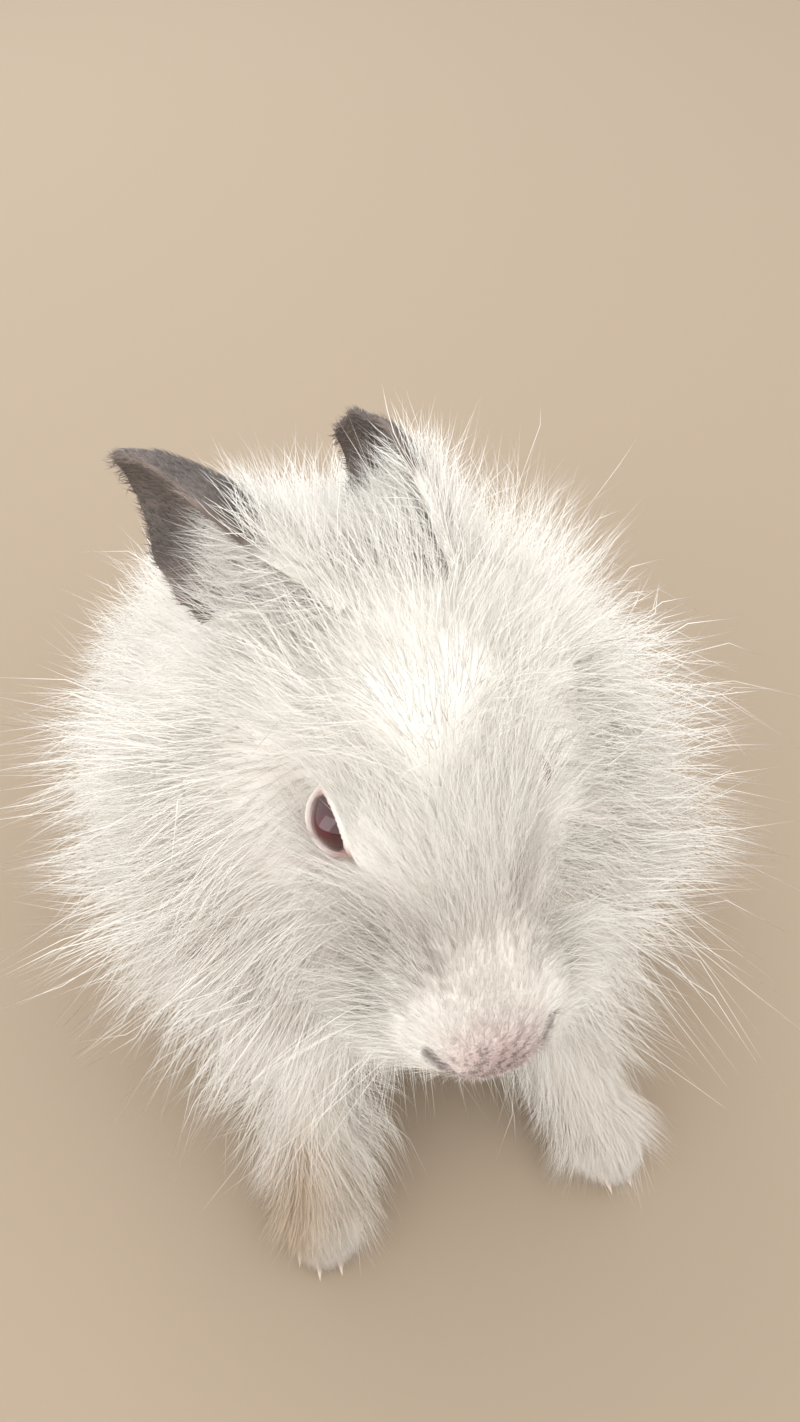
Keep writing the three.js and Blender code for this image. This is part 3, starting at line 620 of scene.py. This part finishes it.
# Roots of hair: surface of a piece as triangles, and evenly spread places on it
def surface_of(piece):
    mesh = piece.data
    mesh.calc_loop_triangles()
    count = len(mesh.loop_triangles)
    corners = np.zeros(count * 3, np.int32)
    loops = np.zeros(count * 3, np.int32)
    mesh.loop_triangles.foreach_get("vertices", corners)
    mesh.loop_triangles.foreach_get("loops", loops)
    spread = np.zeros(len(mesh.loops) * 2)
    mesh.uv_layers[BAKE_MAP].uv.foreach_get("vector", spread)
    corners = corners.reshape(-1, 3)
    places = points_of(piece)[corners]
    area = np.linalg.norm(np.cross(places[:, 1] - places[:, 0], places[:, 2] - places[:, 0]), axis=1) / 2
    return {
        "places": places,
        "normals": normals_of(piece)[corners],
        "spread": spread.reshape(-1, 2)[loops.reshape(-1, 3)],
        "area": area / MM ** 2,
        "middle": places.mean(axis=1),
    }


def scatter(surface, density, random):
    """Roots, the way out there, and their places in the bake map; density is per square millimetre."""
    wanted = np.cumsum(surface["area"] * density)
    count = int(wanted[-1])
    draws = (np.arange(count) + random.random(count)) / count * wanted[-1]
    face = np.minimum(np.searchsorted(wanted, draws), len(wanted) - 1)
    a, b = random.random(count), random.random(count)
    a, b = np.where(a + b > 1, 1 - a, a), np.where(a + b > 1, 1 - b, b)
    shares = np.column_stack([1 - a - b, a, b])[:, :, None]
    root = (surface["places"][face] * shares).sum(axis=1)
    out = unit((surface["normals"][face] * shares).sum(axis=1))
    return root, out, (surface["spread"][face] * shares).sum(axis=1)


# Hair: closed three-sided strands that taper to a point
PATCH = 0.003  # each strand's place in the bake map
ROOT_DEPTH = 0.4 * MM
MOST_TRIANGLES = 190_000  # in one piece of the coat
LOWEST_HAIR = 1.0 * MM


def strand_faces(rings):
    faces = [(0, 2, 1)]
    for ring in range(rings - 1):
        for corner in range(3):
            a, b = ring * 3 + corner, ring * 3 + (corner + 1) % 3
            faces += [(a, b, b + 3), (a, b + 3, a + 3)]
    last = rings * 3 - 3
    faces += [(last + corner, last + (corner + 1) % 3, last + 3) for corner in range(3)]
    return np.array(faces)


def strand_patch(rings):
    """Place of each of a strand's points in its own patch, from -0.5 to 0.5."""
    rows = [((corner - 1) * 0.45, ring / rings - 0.5) for ring in range(rings) for corner in range(3)]
    return np.array([*rows, (0, 0.5)])


def strand_points(path, out, width, flatness=0.55):
    """Corners of every strand, from its path with one row for each ring and one for the tip."""
    rings, count = len(path) - 1, path.shape[1]
    points = np.zeros((count, rings * 3 + 1, 3))
    for ring in range(rings):
        share = ring / rings
        heading = unit(path[ring + 1] - path[ring])
        across = unit(np.cross(heading, out) + 1e-9)
        deep = np.cross(across, heading)
        size = (width * (0.65 + 0.9 * share) * (1 - share) ** 0.75)[:, None] / 2
        for corner in range(3):
            turn = math.radians(90 + 120 * corner)
            offset = across * math.cos(turn) + deep * math.sin(turn) * flatness
            points[:, ring * 3 + corner] = path[ring] + offset * size
    points[:, -1] = path[-1]
    return points


def hair_pieces(name, path, out, spread, width, tint, material, root_shade=0.93):
    """Joined strands, in as many pieces as the triangles ask."""
    rings = len(path) - 1
    faces = strand_faces(rings)
    corners = rings * 3 + 1
    path = path.copy()
    path[0] -= ROOT_DEPTH * out
    points = strand_points(path, out, width)
    points[:, :, 2] = np.maximum(points[:, :, 2], LOWEST_HAIR)
    # Painted shade: each strand darkens toward its root, by root_shade
    shade = mix(root_shade, 1.0, rise(0, 0.5, strand_patch(rings)[:, 1] + 0.5))
    colours = tint[:, None, :] * shade[None, :, None]
    uv = spread[:, None, :] + PATCH * strand_patch(rings)[None]
    number = math.ceil(len(points) * len(faces) / MOST_TRIANGLES)
    for index, chosen in enumerate(np.array_split(np.arange(len(points)), number)):
        joined = faces[None] + (np.arange(len(chosen)) * corners)[:, None, None]
        piece = mesh_from(f"{name}_{index + 1}", points[chosen].reshape(-1, 3), joined.reshape(-1, 3))
        bake = piece.data.uv_layers.new(name=BAKE_MAP)
        bake.uv.foreach_set("vector", uv[chosen].reshape(-1, 2)[joined.ravel()].astype(np.float32).ravel())
        tint_piece(piece, colours[chosen].reshape(-1, 3))
        piece.data.materials.append(material)
        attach(piece, "root")


def mesh_from(name, points, faces):
    mesh = bpy.data.meshes.new(name)
    mesh.vertices.add(len(points))
    mesh.vertices.foreach_set("co", points.astype(np.float32).ravel())
    mesh.loops.add(faces.size)
    mesh.loops.foreach_set("vertex_index", faces.astype(np.int32).ravel())
    mesh.polygons.add(len(faces))
    mesh.polygons.foreach_set("loop_start", np.arange(0, faces.size, 3, dtype=np.int32))
    mesh.polygons.foreach_set("loop_total", np.full(len(faces), 3, np.int32))
    mesh.polygons.foreach_set("use_smooth", np.ones(len(faces), bool))
    mesh.update(calc_edges=True)
    piece = bpy.data.objects.new(name, mesh)
    bpy.context.collection.objects.link(piece)
    return piece


# The coat
LONGEST_HAIR = 2.2  # times the coat's length there
LYING_COAT, STANDING_COAT = 4, 34  # coat that lies nearly flat, and coat that stands as far as any does
LEAST_LIFT, MOST_LIFT = 0.2, 0.78
SAG, SWIRL = 0.16, 0.25  # how far tips hang and turn aside, as shares of a hair
EVEN_SHARE = 0.7  # of the hairs; the others are ragged
EVEN_LENGTHS, RAGGED_LENGTHS = (0.66, 0.96), (0.4, 1.05)  # shares of the coat's length
OVERLONG = 1.06  # the furthest a tip stands from the skin, as a share of the coat's length
LEAST_SHARE, LEAST_OVER_UNDERWOOL = 0.3, 6  # shortest hair, as a share of the coat and over the underwool
LEAST_UNDERWOOL = 0.2  # height over the skin from which it has the hair in the skin's place
THICKEST_UNDERWOOL = 12  # how far over the skin it is looked for
HAIRS_IN_CLUMP, CLUMP_PULL = 22, (0.15, 0.75)
OVERLAP = 1.4  # how far hairs cover each other's share of the skin
REAR_THINNING, REAR_THICKENING = 0.5, 1.4  # fewer and wider hairs on the hind part
NOSTRIL_BARE = 1.0  # millimetres beside a nostril without hair
FREE_OF_HAIR = {"right": 0.0, "left": 0.2}  # millimetres round each eye's opening
FROM_ABOVE = toward_on_head(-0.13, 0.02, 0.99)  # the right eye also shows from above the face
LONGEST_REACH, LID_EDGE = 60, 0.4  # how far over an eye hair can hide it, and how far round its opening
STRAY_SHARE = 0.006  # of the hairs that may cross an eye
PARTING_STEPS, PARTING = 4, 0.65  # how often a hair in the way of an eye is shortened, and to which share
HAIR_KINDS = [
    # name, what it grows on, shortest and longest coat there, layers of hair, rings of each,
    # scruffiness, seed
    ("short_coat", skin, 0, 9, 3.6, 2, 0.08, 6),
    ("middle_coat", skin, 9, 90, 3.8, 3, 0.12, 7),
    ("long_coat", underwool, 0, 90, 4.3, 3, 0.15, 8),
]


def hair_width(length):
    return 0.1 + 0.0042 * length


def hair_paths(root, out, coat, lie, depth, rings, random, scruff):
    """Places along each hair, from its root, depth above the skin, out to the length of the coat."""
    lie = unit(lie + 0.3 * wander(root, 18, 3))
    flat = unit(lie - (lie * out).sum(axis=1)[:, None] * out)
    lift = mix(LEAST_LIFT, MOST_LIFT, rise(LYING_COAT, STANDING_COAT, coat))[:, None]
    heading = unit(out * lift + flat * (1 - 0.45 * lift) + scruff * random.normal(size=root.shape))
    stands = np.maximum((heading * out).sum(axis=1), 1 / LONGEST_HAIR)
    even = random.uniform(*EVEN_LENGTHS, len(root))
    ragged = random.uniform(*RAGGED_LENGTHS, len(root))
    left = coat * np.where(random.random(len(root)) < EVEN_SHARE, even, ragged) - depth
    left = np.maximum(left, least_hair(coat, depth))
    bend = SAG * DOWN + 0.12 * random.normal(size=root.shape) + SWIRL * wander(root, 9, 4)
    wave = 0.05 * wander(root, 6, 14) + 0.025 * random.normal(size=root.shape)
    shares = np.linspace(0, 1, rings + 1)[:, None, None]
    frizz = 0.02 * random.normal(size=(rings + 1, *root.shape)) * shares
    curve = heading * shares + bend * shares ** 2 + wave * np.sin(2 * math.pi * shares) + frizz
    return root + curve * (left / stands * MM)[:, None]


def least_hair(coat, depth):
    """Shortest hair in millimetres, also where the underwool stands high over a short coat."""
    return np.maximum(LEAST_SHARE * coat, LEAST_OVER_UNDERWOOL * rise(0.5, 3, depth))


def clump(path, random):
    """Leans every hair toward the nearest of a few guides, more so to the tips."""
    root = path[0]
    guides = random.choice(len(root), len(root) // HAIRS_IN_CLUMP, replace=False)
    tree = kdtree.KDTree(len(guides))
    for guide in guides:
        tree.insert(root[guide], int(guide))
    tree.balance()
    nearest = np.array([tree.find(spot)[1] for spot in root])
    pull = random.uniform(*CLUMP_PULL, len(root))[nearest][None, :, None]
    shares = np.linspace(0, 1, len(path))[:, None, None]
    leaning = path[:, nearest] + (root - root[nearest]) * (1 - 0.8 * shares)
    return mix(path, leaning, pull * shares ** 1.3)


def trim(path, coat, tree):
    """Shortens hairs whose tips stand too far from the skin for the coat's length."""
    away = np.array([tree.find_nearest(Vector(tip))[3] for tip in path[-1]])
    share = np.minimum(1, coat * MM * OVERLONG / np.maximum(away, 1e-6))
    return path[0] + (path - path[0]) * share[:, None]


def clear_of_eyes(path, stray):
    """True for hairs that leave the eye openings free, and for the strays that may cross them."""
    clear = np.ones(path.shape[1], bool)
    for name, margin in FREE_OF_HAIR.items():
        for step, points in enumerate(path):
            outside, out_of_eye = almond(points, name)
            covers = (out_of_eye > 2) & (outside < margin)
            clear &= ~covers | (stray & (step > 0))
    for points in np.concatenate([path, (path[1:] + path[:-1]) / 2]):
        clear &= ~before_eye(points, "right", FROM_ABOVE) | stray
    return clear


def part_at_eyes(path, random):
    """Shortens the hairs in the way of the eyes and tells which are clear of them in the end."""
    stray = random.random(path.shape[1]) < STRAY_SHARE
    for _ in range(PARTING_STEPS):
        blocked = ~clear_of_eyes(path, stray)
        path[:, blocked] = mix(path[0], path, PARTING)[:, blocked]
    return clear_of_eyes(path, stray)


def before_eye(points, name, view):
    """True where points hide the eye's opening from one direction."""
    away = (points - eye_middle[name]) / MM
    ahead = away @ view
    aside = away - ahead[:, None] * view
    deep = np.sqrt(np.maximum(EYE_RADIUS ** 2 - (aside ** 2).sum(axis=1), 0))
    seen = eye_middle[name] + (aside + deep[:, None] * view) * MM
    outside, _ = almond(seen, name)
    return (deep > 0) & (ahead > deep) & (ahead < LONGEST_REACH) & (outside < LID_EDGE)


def tree_of(piece):
    faces = surface_of(piece)["places"]
    return BVHTree.FromPolygons(faces.reshape(-1, 3), np.arange(len(faces) * 3).reshape(-1, 3))


def grows_hair(ground, surface, depth, wool_tree):
    """True where a surface grows hair: skin that no underwool covers, and underwool outside the skin."""
    if ground is underwool:
        return depth > LEAST_UNDERWOOL
    ways = unit(surface["normals"].sum(axis=1))
    starts = surface["middle"] + ways * LEAST_UNDERWOOL * MM
    reach = THICKEST_UNDERWOOL * MM
    hits = [wool_tree.ray_cast(Vector(start), Vector(way), reach)[0] for start, way in zip(starts, ways)]
    return np.array([hit is None for hit in hits])


def toward_rear(points):
    return rise(-10, 30, (points[:, 1] - SHIFT[1]) / MM)


def grow_coat():
    tree = tree_of(skin)
    wool_tree = tree_of(underwool)
    for name, ground, shortest, longest, cover, rings, scruff, seed in HAIR_KINDS:
        random = np.random.default_rng(seed)
        surface = surface_of(ground)
        length, _, depth, _ = coat_under(surface["middle"], tree)
        chosen = (length >= shortest) & (length < longest)
        chosen &= grows_hair(ground, surface, depth, wool_tree)
        above_floor = rise(0, 8, surface["middle"][:, 2] / MM - 2)
        left = np.maximum(0.85 * length - np.maximum(depth, 0), least_hair(length, depth))
        density = chosen * above_floor * cover / (hair_width(length) * left * OVERLAP)
        density = density * mix(1, REAR_THINNING, toward_rear(surface["middle"]))
        root, out, spread = scatter(surface, density, random)
        coat, lie, depth, above = coat_under(root, tree)
        out = unit(mix(out, unit(above), (0.7 * rise(1, 4, depth))[:, None]))
        path = hair_paths(root, out, coat, lie, depth, rings, random, scruff)
        if rings > 2:
            path = clump(path, random)
        path = trim(path, np.maximum(coat, depth + least_hair(coat, depth)), tree)
        kept = part_at_eyes(path, random) & (both_nostrils(root) > NOSTRIL_BARE)
        path, root, out, spread, coat = path[:, kept], root[kept], out[kept], spread[kept], coat[kept]
        width = hair_width(coat) * mix(1, REAR_THICKENING, toward_rear(root)) * MM
        width = width * random.uniform(0.7, 1.3, len(root))
        tint = markings_and_painted_shade(root) * random.uniform(0.94, 1.03, len(root))[:, None]
        hair_pieces(name, path, out, spread, width, np.minimum(tint, 0.98), wool)


def coat_under(points, tree):
    """Length and lie of the coat at the nearest place on the skin, and the points' height over it."""
    found = [tree.find_nearest(Vector(point)) for point in points]
    spots = np.array([spot for spot, *_ in found])
    ways = np.array([way for _, way, *_ in found])
    length, lie = coat_at(spots)
    above = points - spots
    return length, lie, np.linalg.norm(above, axis=1) / MM * np.sign((above * ways).sum(axis=1)), above


grow_coat()


# Eyes: a ball with a raised cornea, ruby iris and pupil, the pupil brightened by a painted reflection
PUPIL_ANGLE, IRIS_ANGLE, CORNEA_ANGLE = (math.radians(a) for a in (20, 44, 40))
RUBY = np.array([0.06, 0.002, 0.009])
DARK_RUBY = np.array([0.03, 0.003, 0.006])
PUPIL_REFLECTION_RUBY = np.array([0.075, 0.002, 0.012])
EYE_WHITE = np.array([0.55, 0.33, 0.31])

eye_glass = colour_from_tint(new_material("ruby_eye", Roughness=0.08, Coat_Weight=1.0, Coat_Roughness=0.02))


def make_eye(name, side):
    slit, up, look = eye_axes(side)
    bpy.ops.object.select_all(action="DESELECT")
    bpy.ops.mesh.primitive_uv_sphere_add(segments=96, ring_count=64, radius=EYE_RADIUS * MM)
    eye = bpy.context.active_object
    eye.name = f"eyeball_{name}"
    points = points_of(eye)
    angle = np.arccos(np.clip(points[:, 2] / (EYE_RADIUS * MM), -1, 1))
    turn = np.arctan2(points[:, 1], points[:, 0])
    points[:, 2] += 0.7 * MM * (1 - rise(0, CORNEA_ANGLE, angle))
    points = eye_middle[name] + points @ np.array([slit, up, look])
    move_points(eye, points)
    streaks = 0.5 + 0.5 * np.sin(turn * 23 + 2 * np.sin(turn * 7))
    iris = mix(DARK_RUBY, RUBY, (0.4 + 0.6 * streaks)[:, None])
    # Painted reflection: the pupil is a brighter ruby, for light sent back from inside the eye
    iris = mix(PUPIL_REFLECTION_RUBY, iris, rise(PUPIL_ANGLE - 0.06, PUPIL_ANGLE + 0.04, angle)[:, None])
    iris = mix(iris, DARK_RUBY, rise(IRIS_ANGLE - 0.16, IRIS_ANGLE, angle)[:, None])
    tint_piece(eye, mix(iris, EYE_WHITE, rise(IRIS_ANGLE, IRIS_ANGLE + 0.1, angle)[:, None]))
    eye.data.materials.append(eye_glass)
    bpy.ops.object.shade_smooth()
    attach(eye, "root")
    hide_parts(f"eye_{name}")


for name, side in SIDES.items():
    make_eye(name, side)

# Ears: shells rolled at the root and open to the front, dark above a white-haired lower half
EAR_HALF_WIDTHS = [2.5, 4, 7.2, 10.6, 12.7, 13.2, 13, 11.8, 9.2, 5]
EAR_THICKNESS = 1.3
EAR_ROOT_SPREAD, EAR_TIP_SPREAD = 2.1, 1.1  # half angle of the shell, in radians
EARS = {  # root, bend, tip and the way the shell opens
    "right": (on_head(-8, -34, 9), place(-20, -40, 194), place(-38.5, -21, 181.5), (-0.85, -0.53, 0.08)),
    "left": (on_head(10, -34, 9), place(8, -34, 180), place(3, -8, 166), (-0.3, -0.75, 0.5)),
}
EAR_STEPS_ALONG, EAR_STEPS_ACROSS = 48, 28
SLATE = np.array([0.14, 0.115, 0.105])
UMBER = np.array([0.27, 0.21, 0.18])
WHITE_EAR_END = 24  # distance from an ear's root up to which it is white
EAR_SEEDS = {"right": 31, "left": 32}
EAR_HAIR_LENGTHS, EAR_HAIR_WIDTHS = (1.8, 3.6), (0.16, 0.3)
WISPS_END = 29  # distance from an ear's root where its long white hair ends
LONG_WISP, SHORT_WISP = 17, 6  # at the root and at that end
WISP_WIDTHS = (0.17, 0.32)


def ear_place(shape, along, across):
    """Point on an ear, from its share along from root to tip and across from edge to edge, both arrays."""
    root, bend, tip, opening = shape
    t = along[:, None]
    middle = (1 - t) ** 2 * root + 2 * t * (1 - t) * bend + t * t * tip
    heading = unit((1 - t) * (bend - root) + t * (tip - bend))
    opening = unit(opening)
    open_way = unit(opening - (heading @ opening)[:, None] * heading)
    sideways = np.cross(heading, open_way)
    half_width = np.interp(along * 9, range(10), EAR_HALF_WIDTHS)
    half_width = half_width * (1 + 0.03 * np.sin(along * 31) * np.abs(across))
    spread = mix(EAR_ROOT_SPREAD, EAR_TIP_SPREAD, along)
    radius = half_width / np.sin(np.minimum(spread, math.pi / 2))
    turn = across * spread
    out = sideways * np.sin(turn)[:, None] - open_way * np.cos(turn)[:, None]
    hub = middle + open_way * radius[:, None] * MM
    return hub + out * (radius * MM)[:, None]


def make_ear(name):
    shape = EARS[name]
    bpy.ops.object.select_all(action="DESELECT")
    bpy.ops.mesh.primitive_grid_add(x_subdivisions=EAR_STEPS_ALONG, y_subdivisions=EAR_STEPS_ACROSS, size=2)
    ear = bpy.context.active_object
    ear.name = f"ear_shell_{name}"
    grid = points_of(ear)
    along, across = (grid[:, 0] + 1) / 2, grid[:, 1]
    round_tip = 1 - np.clip((np.abs(across) - 0.2) / 0.8, 0, 1) ** 2 * 0.10 * rise(0.6, 1, along)
    move_points(ear, ear_place(shape, along * round_tip, across))
    ear.data.materials.append(ear_skin)
    apply_modifier(ear, "SOLIDIFY", thickness=EAR_THICKNESS * MM, offset=0)
    apply_modifier(ear, "SUBSURF", levels=1)
    bpy.ops.object.shade_smooth()
    unwrap(ear)
    return ear


ear_skin = add_grain(colour_from_tint(new_material("ear_skin", Roughness=0.7)), 0.4, 0.3)


def ear_colours(points, out, name):
    root, _, tip, opening = EARS[name]
    inside = rise(0.0, 0.5, out @ unit(opening))
    near_tip = near(points, tip, 26)
    colour = blend(SLATE, UMBER, 0.7 * inside)
    colour = blend(colour, SLATE * 0.8, 0.5 * near_tip * inside)
    patchy = 0.8 + 0.3 * wander(points, 5, 12)[:, :1]
    from_root = np.linalg.norm(points - root, axis=1) / MM + 3 * wander(points, 4, 13)[:, 0]
    return blend(CREAM, colour * patchy, rise(WHITE_EAR_END - 8, WHITE_EAR_END, from_root))


def dress_ear(name):
    ear = make_ear(name)
    tint_piece(ear, ear_colours(points_of(ear), normals_of(ear), name))
    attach(ear, "root")
    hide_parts(f"ear_{name}")
    random = np.random.default_rng(EAR_SEEDS[name])
    surface = surface_of(ear)
    from_root = np.linalg.norm(surface["middle"] - EARS[name][0], axis=1) / MM
    short_ear_hair(name, surface, from_root, random)
    wisps(name, surface, from_root, random)


def short_ear_hair(name, surface, from_root, random):
    """Short hair lying toward the tip of an ear, in the ear's own colours."""
    root, _, tip, _ = EARS[name]
    root_at, out, spread = scatter(surface, 1.8 * rise(14, 26, from_root), random)
    lie = unit(tip - root) + 0.25 * random.normal(size=root_at.shape)
    flat = unit(lie - (lie * out).sum(axis=1)[:, None] * out)
    heading = unit(flat + 0.28 * out)
    length = random.uniform(*EAR_HAIR_LENGTHS, len(root_at)) * MM
    shares = np.linspace(0, 1, 3)[:, None, None]
    path = root_at + (heading * shares - 0.12 * out * shares ** 2) * length[:, None]
    colours = ear_colours(root_at, out, name) * random.uniform(0.75, 1.5, len(root_at))[:, None]
    width = random.uniform(*EAR_HAIR_WIDTHS, len(root_at)) * MM
    hair_pieces(f"ear_coat_{name}", path, out, spread, width, colours, wool)


def wisps(name, surface, from_root, random):
    """Long white hair on the lower part of an ear, thinning toward the tip."""
    root, _, tip, _ = EARS[name]
    density = 1.7 * rise(WISPS_END, 16, from_root)
    root_at, out, spread = scatter(surface, density, random)
    upward = unit(0.8 * CROWNWARD + unit(tip - root))
    heading = unit(0.7 * out + upward + 0.35 * random.normal(size=root_at.shape))
    up_ear = np.linalg.norm(root_at - root, axis=1) / MM
    length = mix(LONG_WISP, SHORT_WISP, rise(6, WISPS_END, up_ear)) * MM
    length = length * random.uniform(0.5, 1.05, len(root_at))
    bend = unit(tip - root) * 0.3 + 0.2 * random.normal(size=root_at.shape)
    shares = np.linspace(0, 1, 4)[:, None, None]
    path = root_at + (heading * shares + bend * shares ** 2) * length[:, None]
    tint = np.tile(CREAM, (len(root_at), 1)) * random.uniform(0.9, 1.05, len(root_at))[:, None]
    width = random.uniform(*WISP_WIDTHS, len(root_at)) * MM
    hair_pieces(f"ear_wisps_{name}", path, out, spread, width, tint, wool)


for name in SIDES:
    dress_ear(name)


# Whiskers
def make_whiskers():
    random = np.random.default_rng(41)
    paths = []
    for side in SIDES.values():
        for row in range(3):
            for column in range(4):
                root = on_head(side * (13.5 + 0.7 * column), 41 - 3 * column, -2.5 - 2.6 * row)
                sideways = side * (0.95 - 0.05 * column)
                heading = toward_on_head(sideways, 0.6 - 0.16 * column, 0.05 - 0.2 * row)
                heading = unit(heading + 0.1 * random.normal(size=3))
                length = random.uniform(28, 40) * MM
                shares = np.linspace(0, 1, 9)[:, None]
                sag = 0.3 * DOWN + 0.1 * random.normal(size=3)
                paths.append(root + (heading * shares + sag * shares ** 2) * length)
    path = np.stack(paths, axis=1)
    count = path.shape[1]
    out = unit(path[1] - path[0])
    across = unit(np.cross(out, DOWN) + 1e-6)
    # The whiskers also darken toward their roots by painted shade
    hair_pieces(
        "whiskers", path, across, np.full((count, 2), 0.5), np.full(count, 0.26 * MM),
        np.tile(CREAM, (count, 1)), whisker, root_shade=0.8)


whisker = colour_from_tint(new_material("whisker", Roughness=0.35))
make_whiskers()


# Claws keep the frame's own pieces and get horn
def horn_material():
    material = add_grain(new_material("horn", Roughness=0.3, Coat_Weight=0.3), 0.6, 0.1)
    nodes, links = material.node_tree.nodes, material.node_tree.links
    spot = nodes.new("ShaderNodeTexCoord")
    noise = nodes.new("ShaderNodeTexNoise")
    noise.inputs["Scale"].default_value = 500
    ramp = nodes.new("ShaderNodeValToRGB")
    ramp.color_ramp.elements[0].color = (0.55, 0.40, 0.32, 1)
    ramp.color_ramp.elements[1].color = (0.78, 0.68, 0.58, 1)
    links.new(spot.outputs["Object"], noise.inputs["Vector"])
    links.new(noise.outputs["Fac"], ramp.inputs["Fac"])
    links.new(ramp.outputs["Color"], nodes["Principled BSDF"].inputs["Base Color"])
    return material


horn = horn_material()
for piece in bpy.data.objects:
    if piece.type == "MESH" and piece.name.startswith("claw_"):
        piece.data.materials.clear()
        piece.data.materials.append(horn)


# Floor, light and finish
def make_floor():
    bpy.ops.mesh.primitive_plane_add(size=6, location=(0, 0, 0))
    floor = bpy.context.active_object
    floor.name = "floor"
    floor.data.materials.append(new_material("pale_floor", Base_Color=(0.36, 0.285, 0.21, 1), Roughness=0.8))


make_floor()

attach(skin, "root")
flesh = ["head", "neck", "torso", "tail"]
flesh += [f"{part}_{side}" for part in ("haunch", "foreleg", "hind_foot") for side in SIDES]
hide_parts(*flesh)


def add_light(name, spot, target, power, size, colour=(1, 1, 1)):
    data = bpy.data.lights.new(name, "AREA")
    data.energy = power
    data.size = size
    data.color = colour
    light = bpy.data.objects.new(name, data)
    light.location = spot
    light.rotation_mode = "QUATERNION"
    light.rotation_quaternion = (Vector(target) - Vector(spot)).to_track_quat("-Z", "Y")
    bpy.context.collection.objects.link(light)


add_light("key", (0.35, -0.55, 1.0), (0, 0, 0.1), 4.8, 1.2)
add_light("fill", (-0.9, -0.5, 0.6), (0, 0, 0.1), 3, 0.9)
add_light("back_light", (-0.2, 0.9, 0.8), (0, 0, 0.1), 4, 0.7)
world = bpy.data.worlds.new("studio")
bpy.context.scene.world = world
world.use_nodes = True
world.node_tree.nodes["Background"].inputs["Color"].default_value = (1, 0.985, 0.96, 1)
world.node_tree.nodes["Background"].inputs["Strength"].default_value = 1.23
bpy.context.scene.view_settings.view_transform = "Standard"
bpy.context.scene.cycles.diffuse_bounces = 6
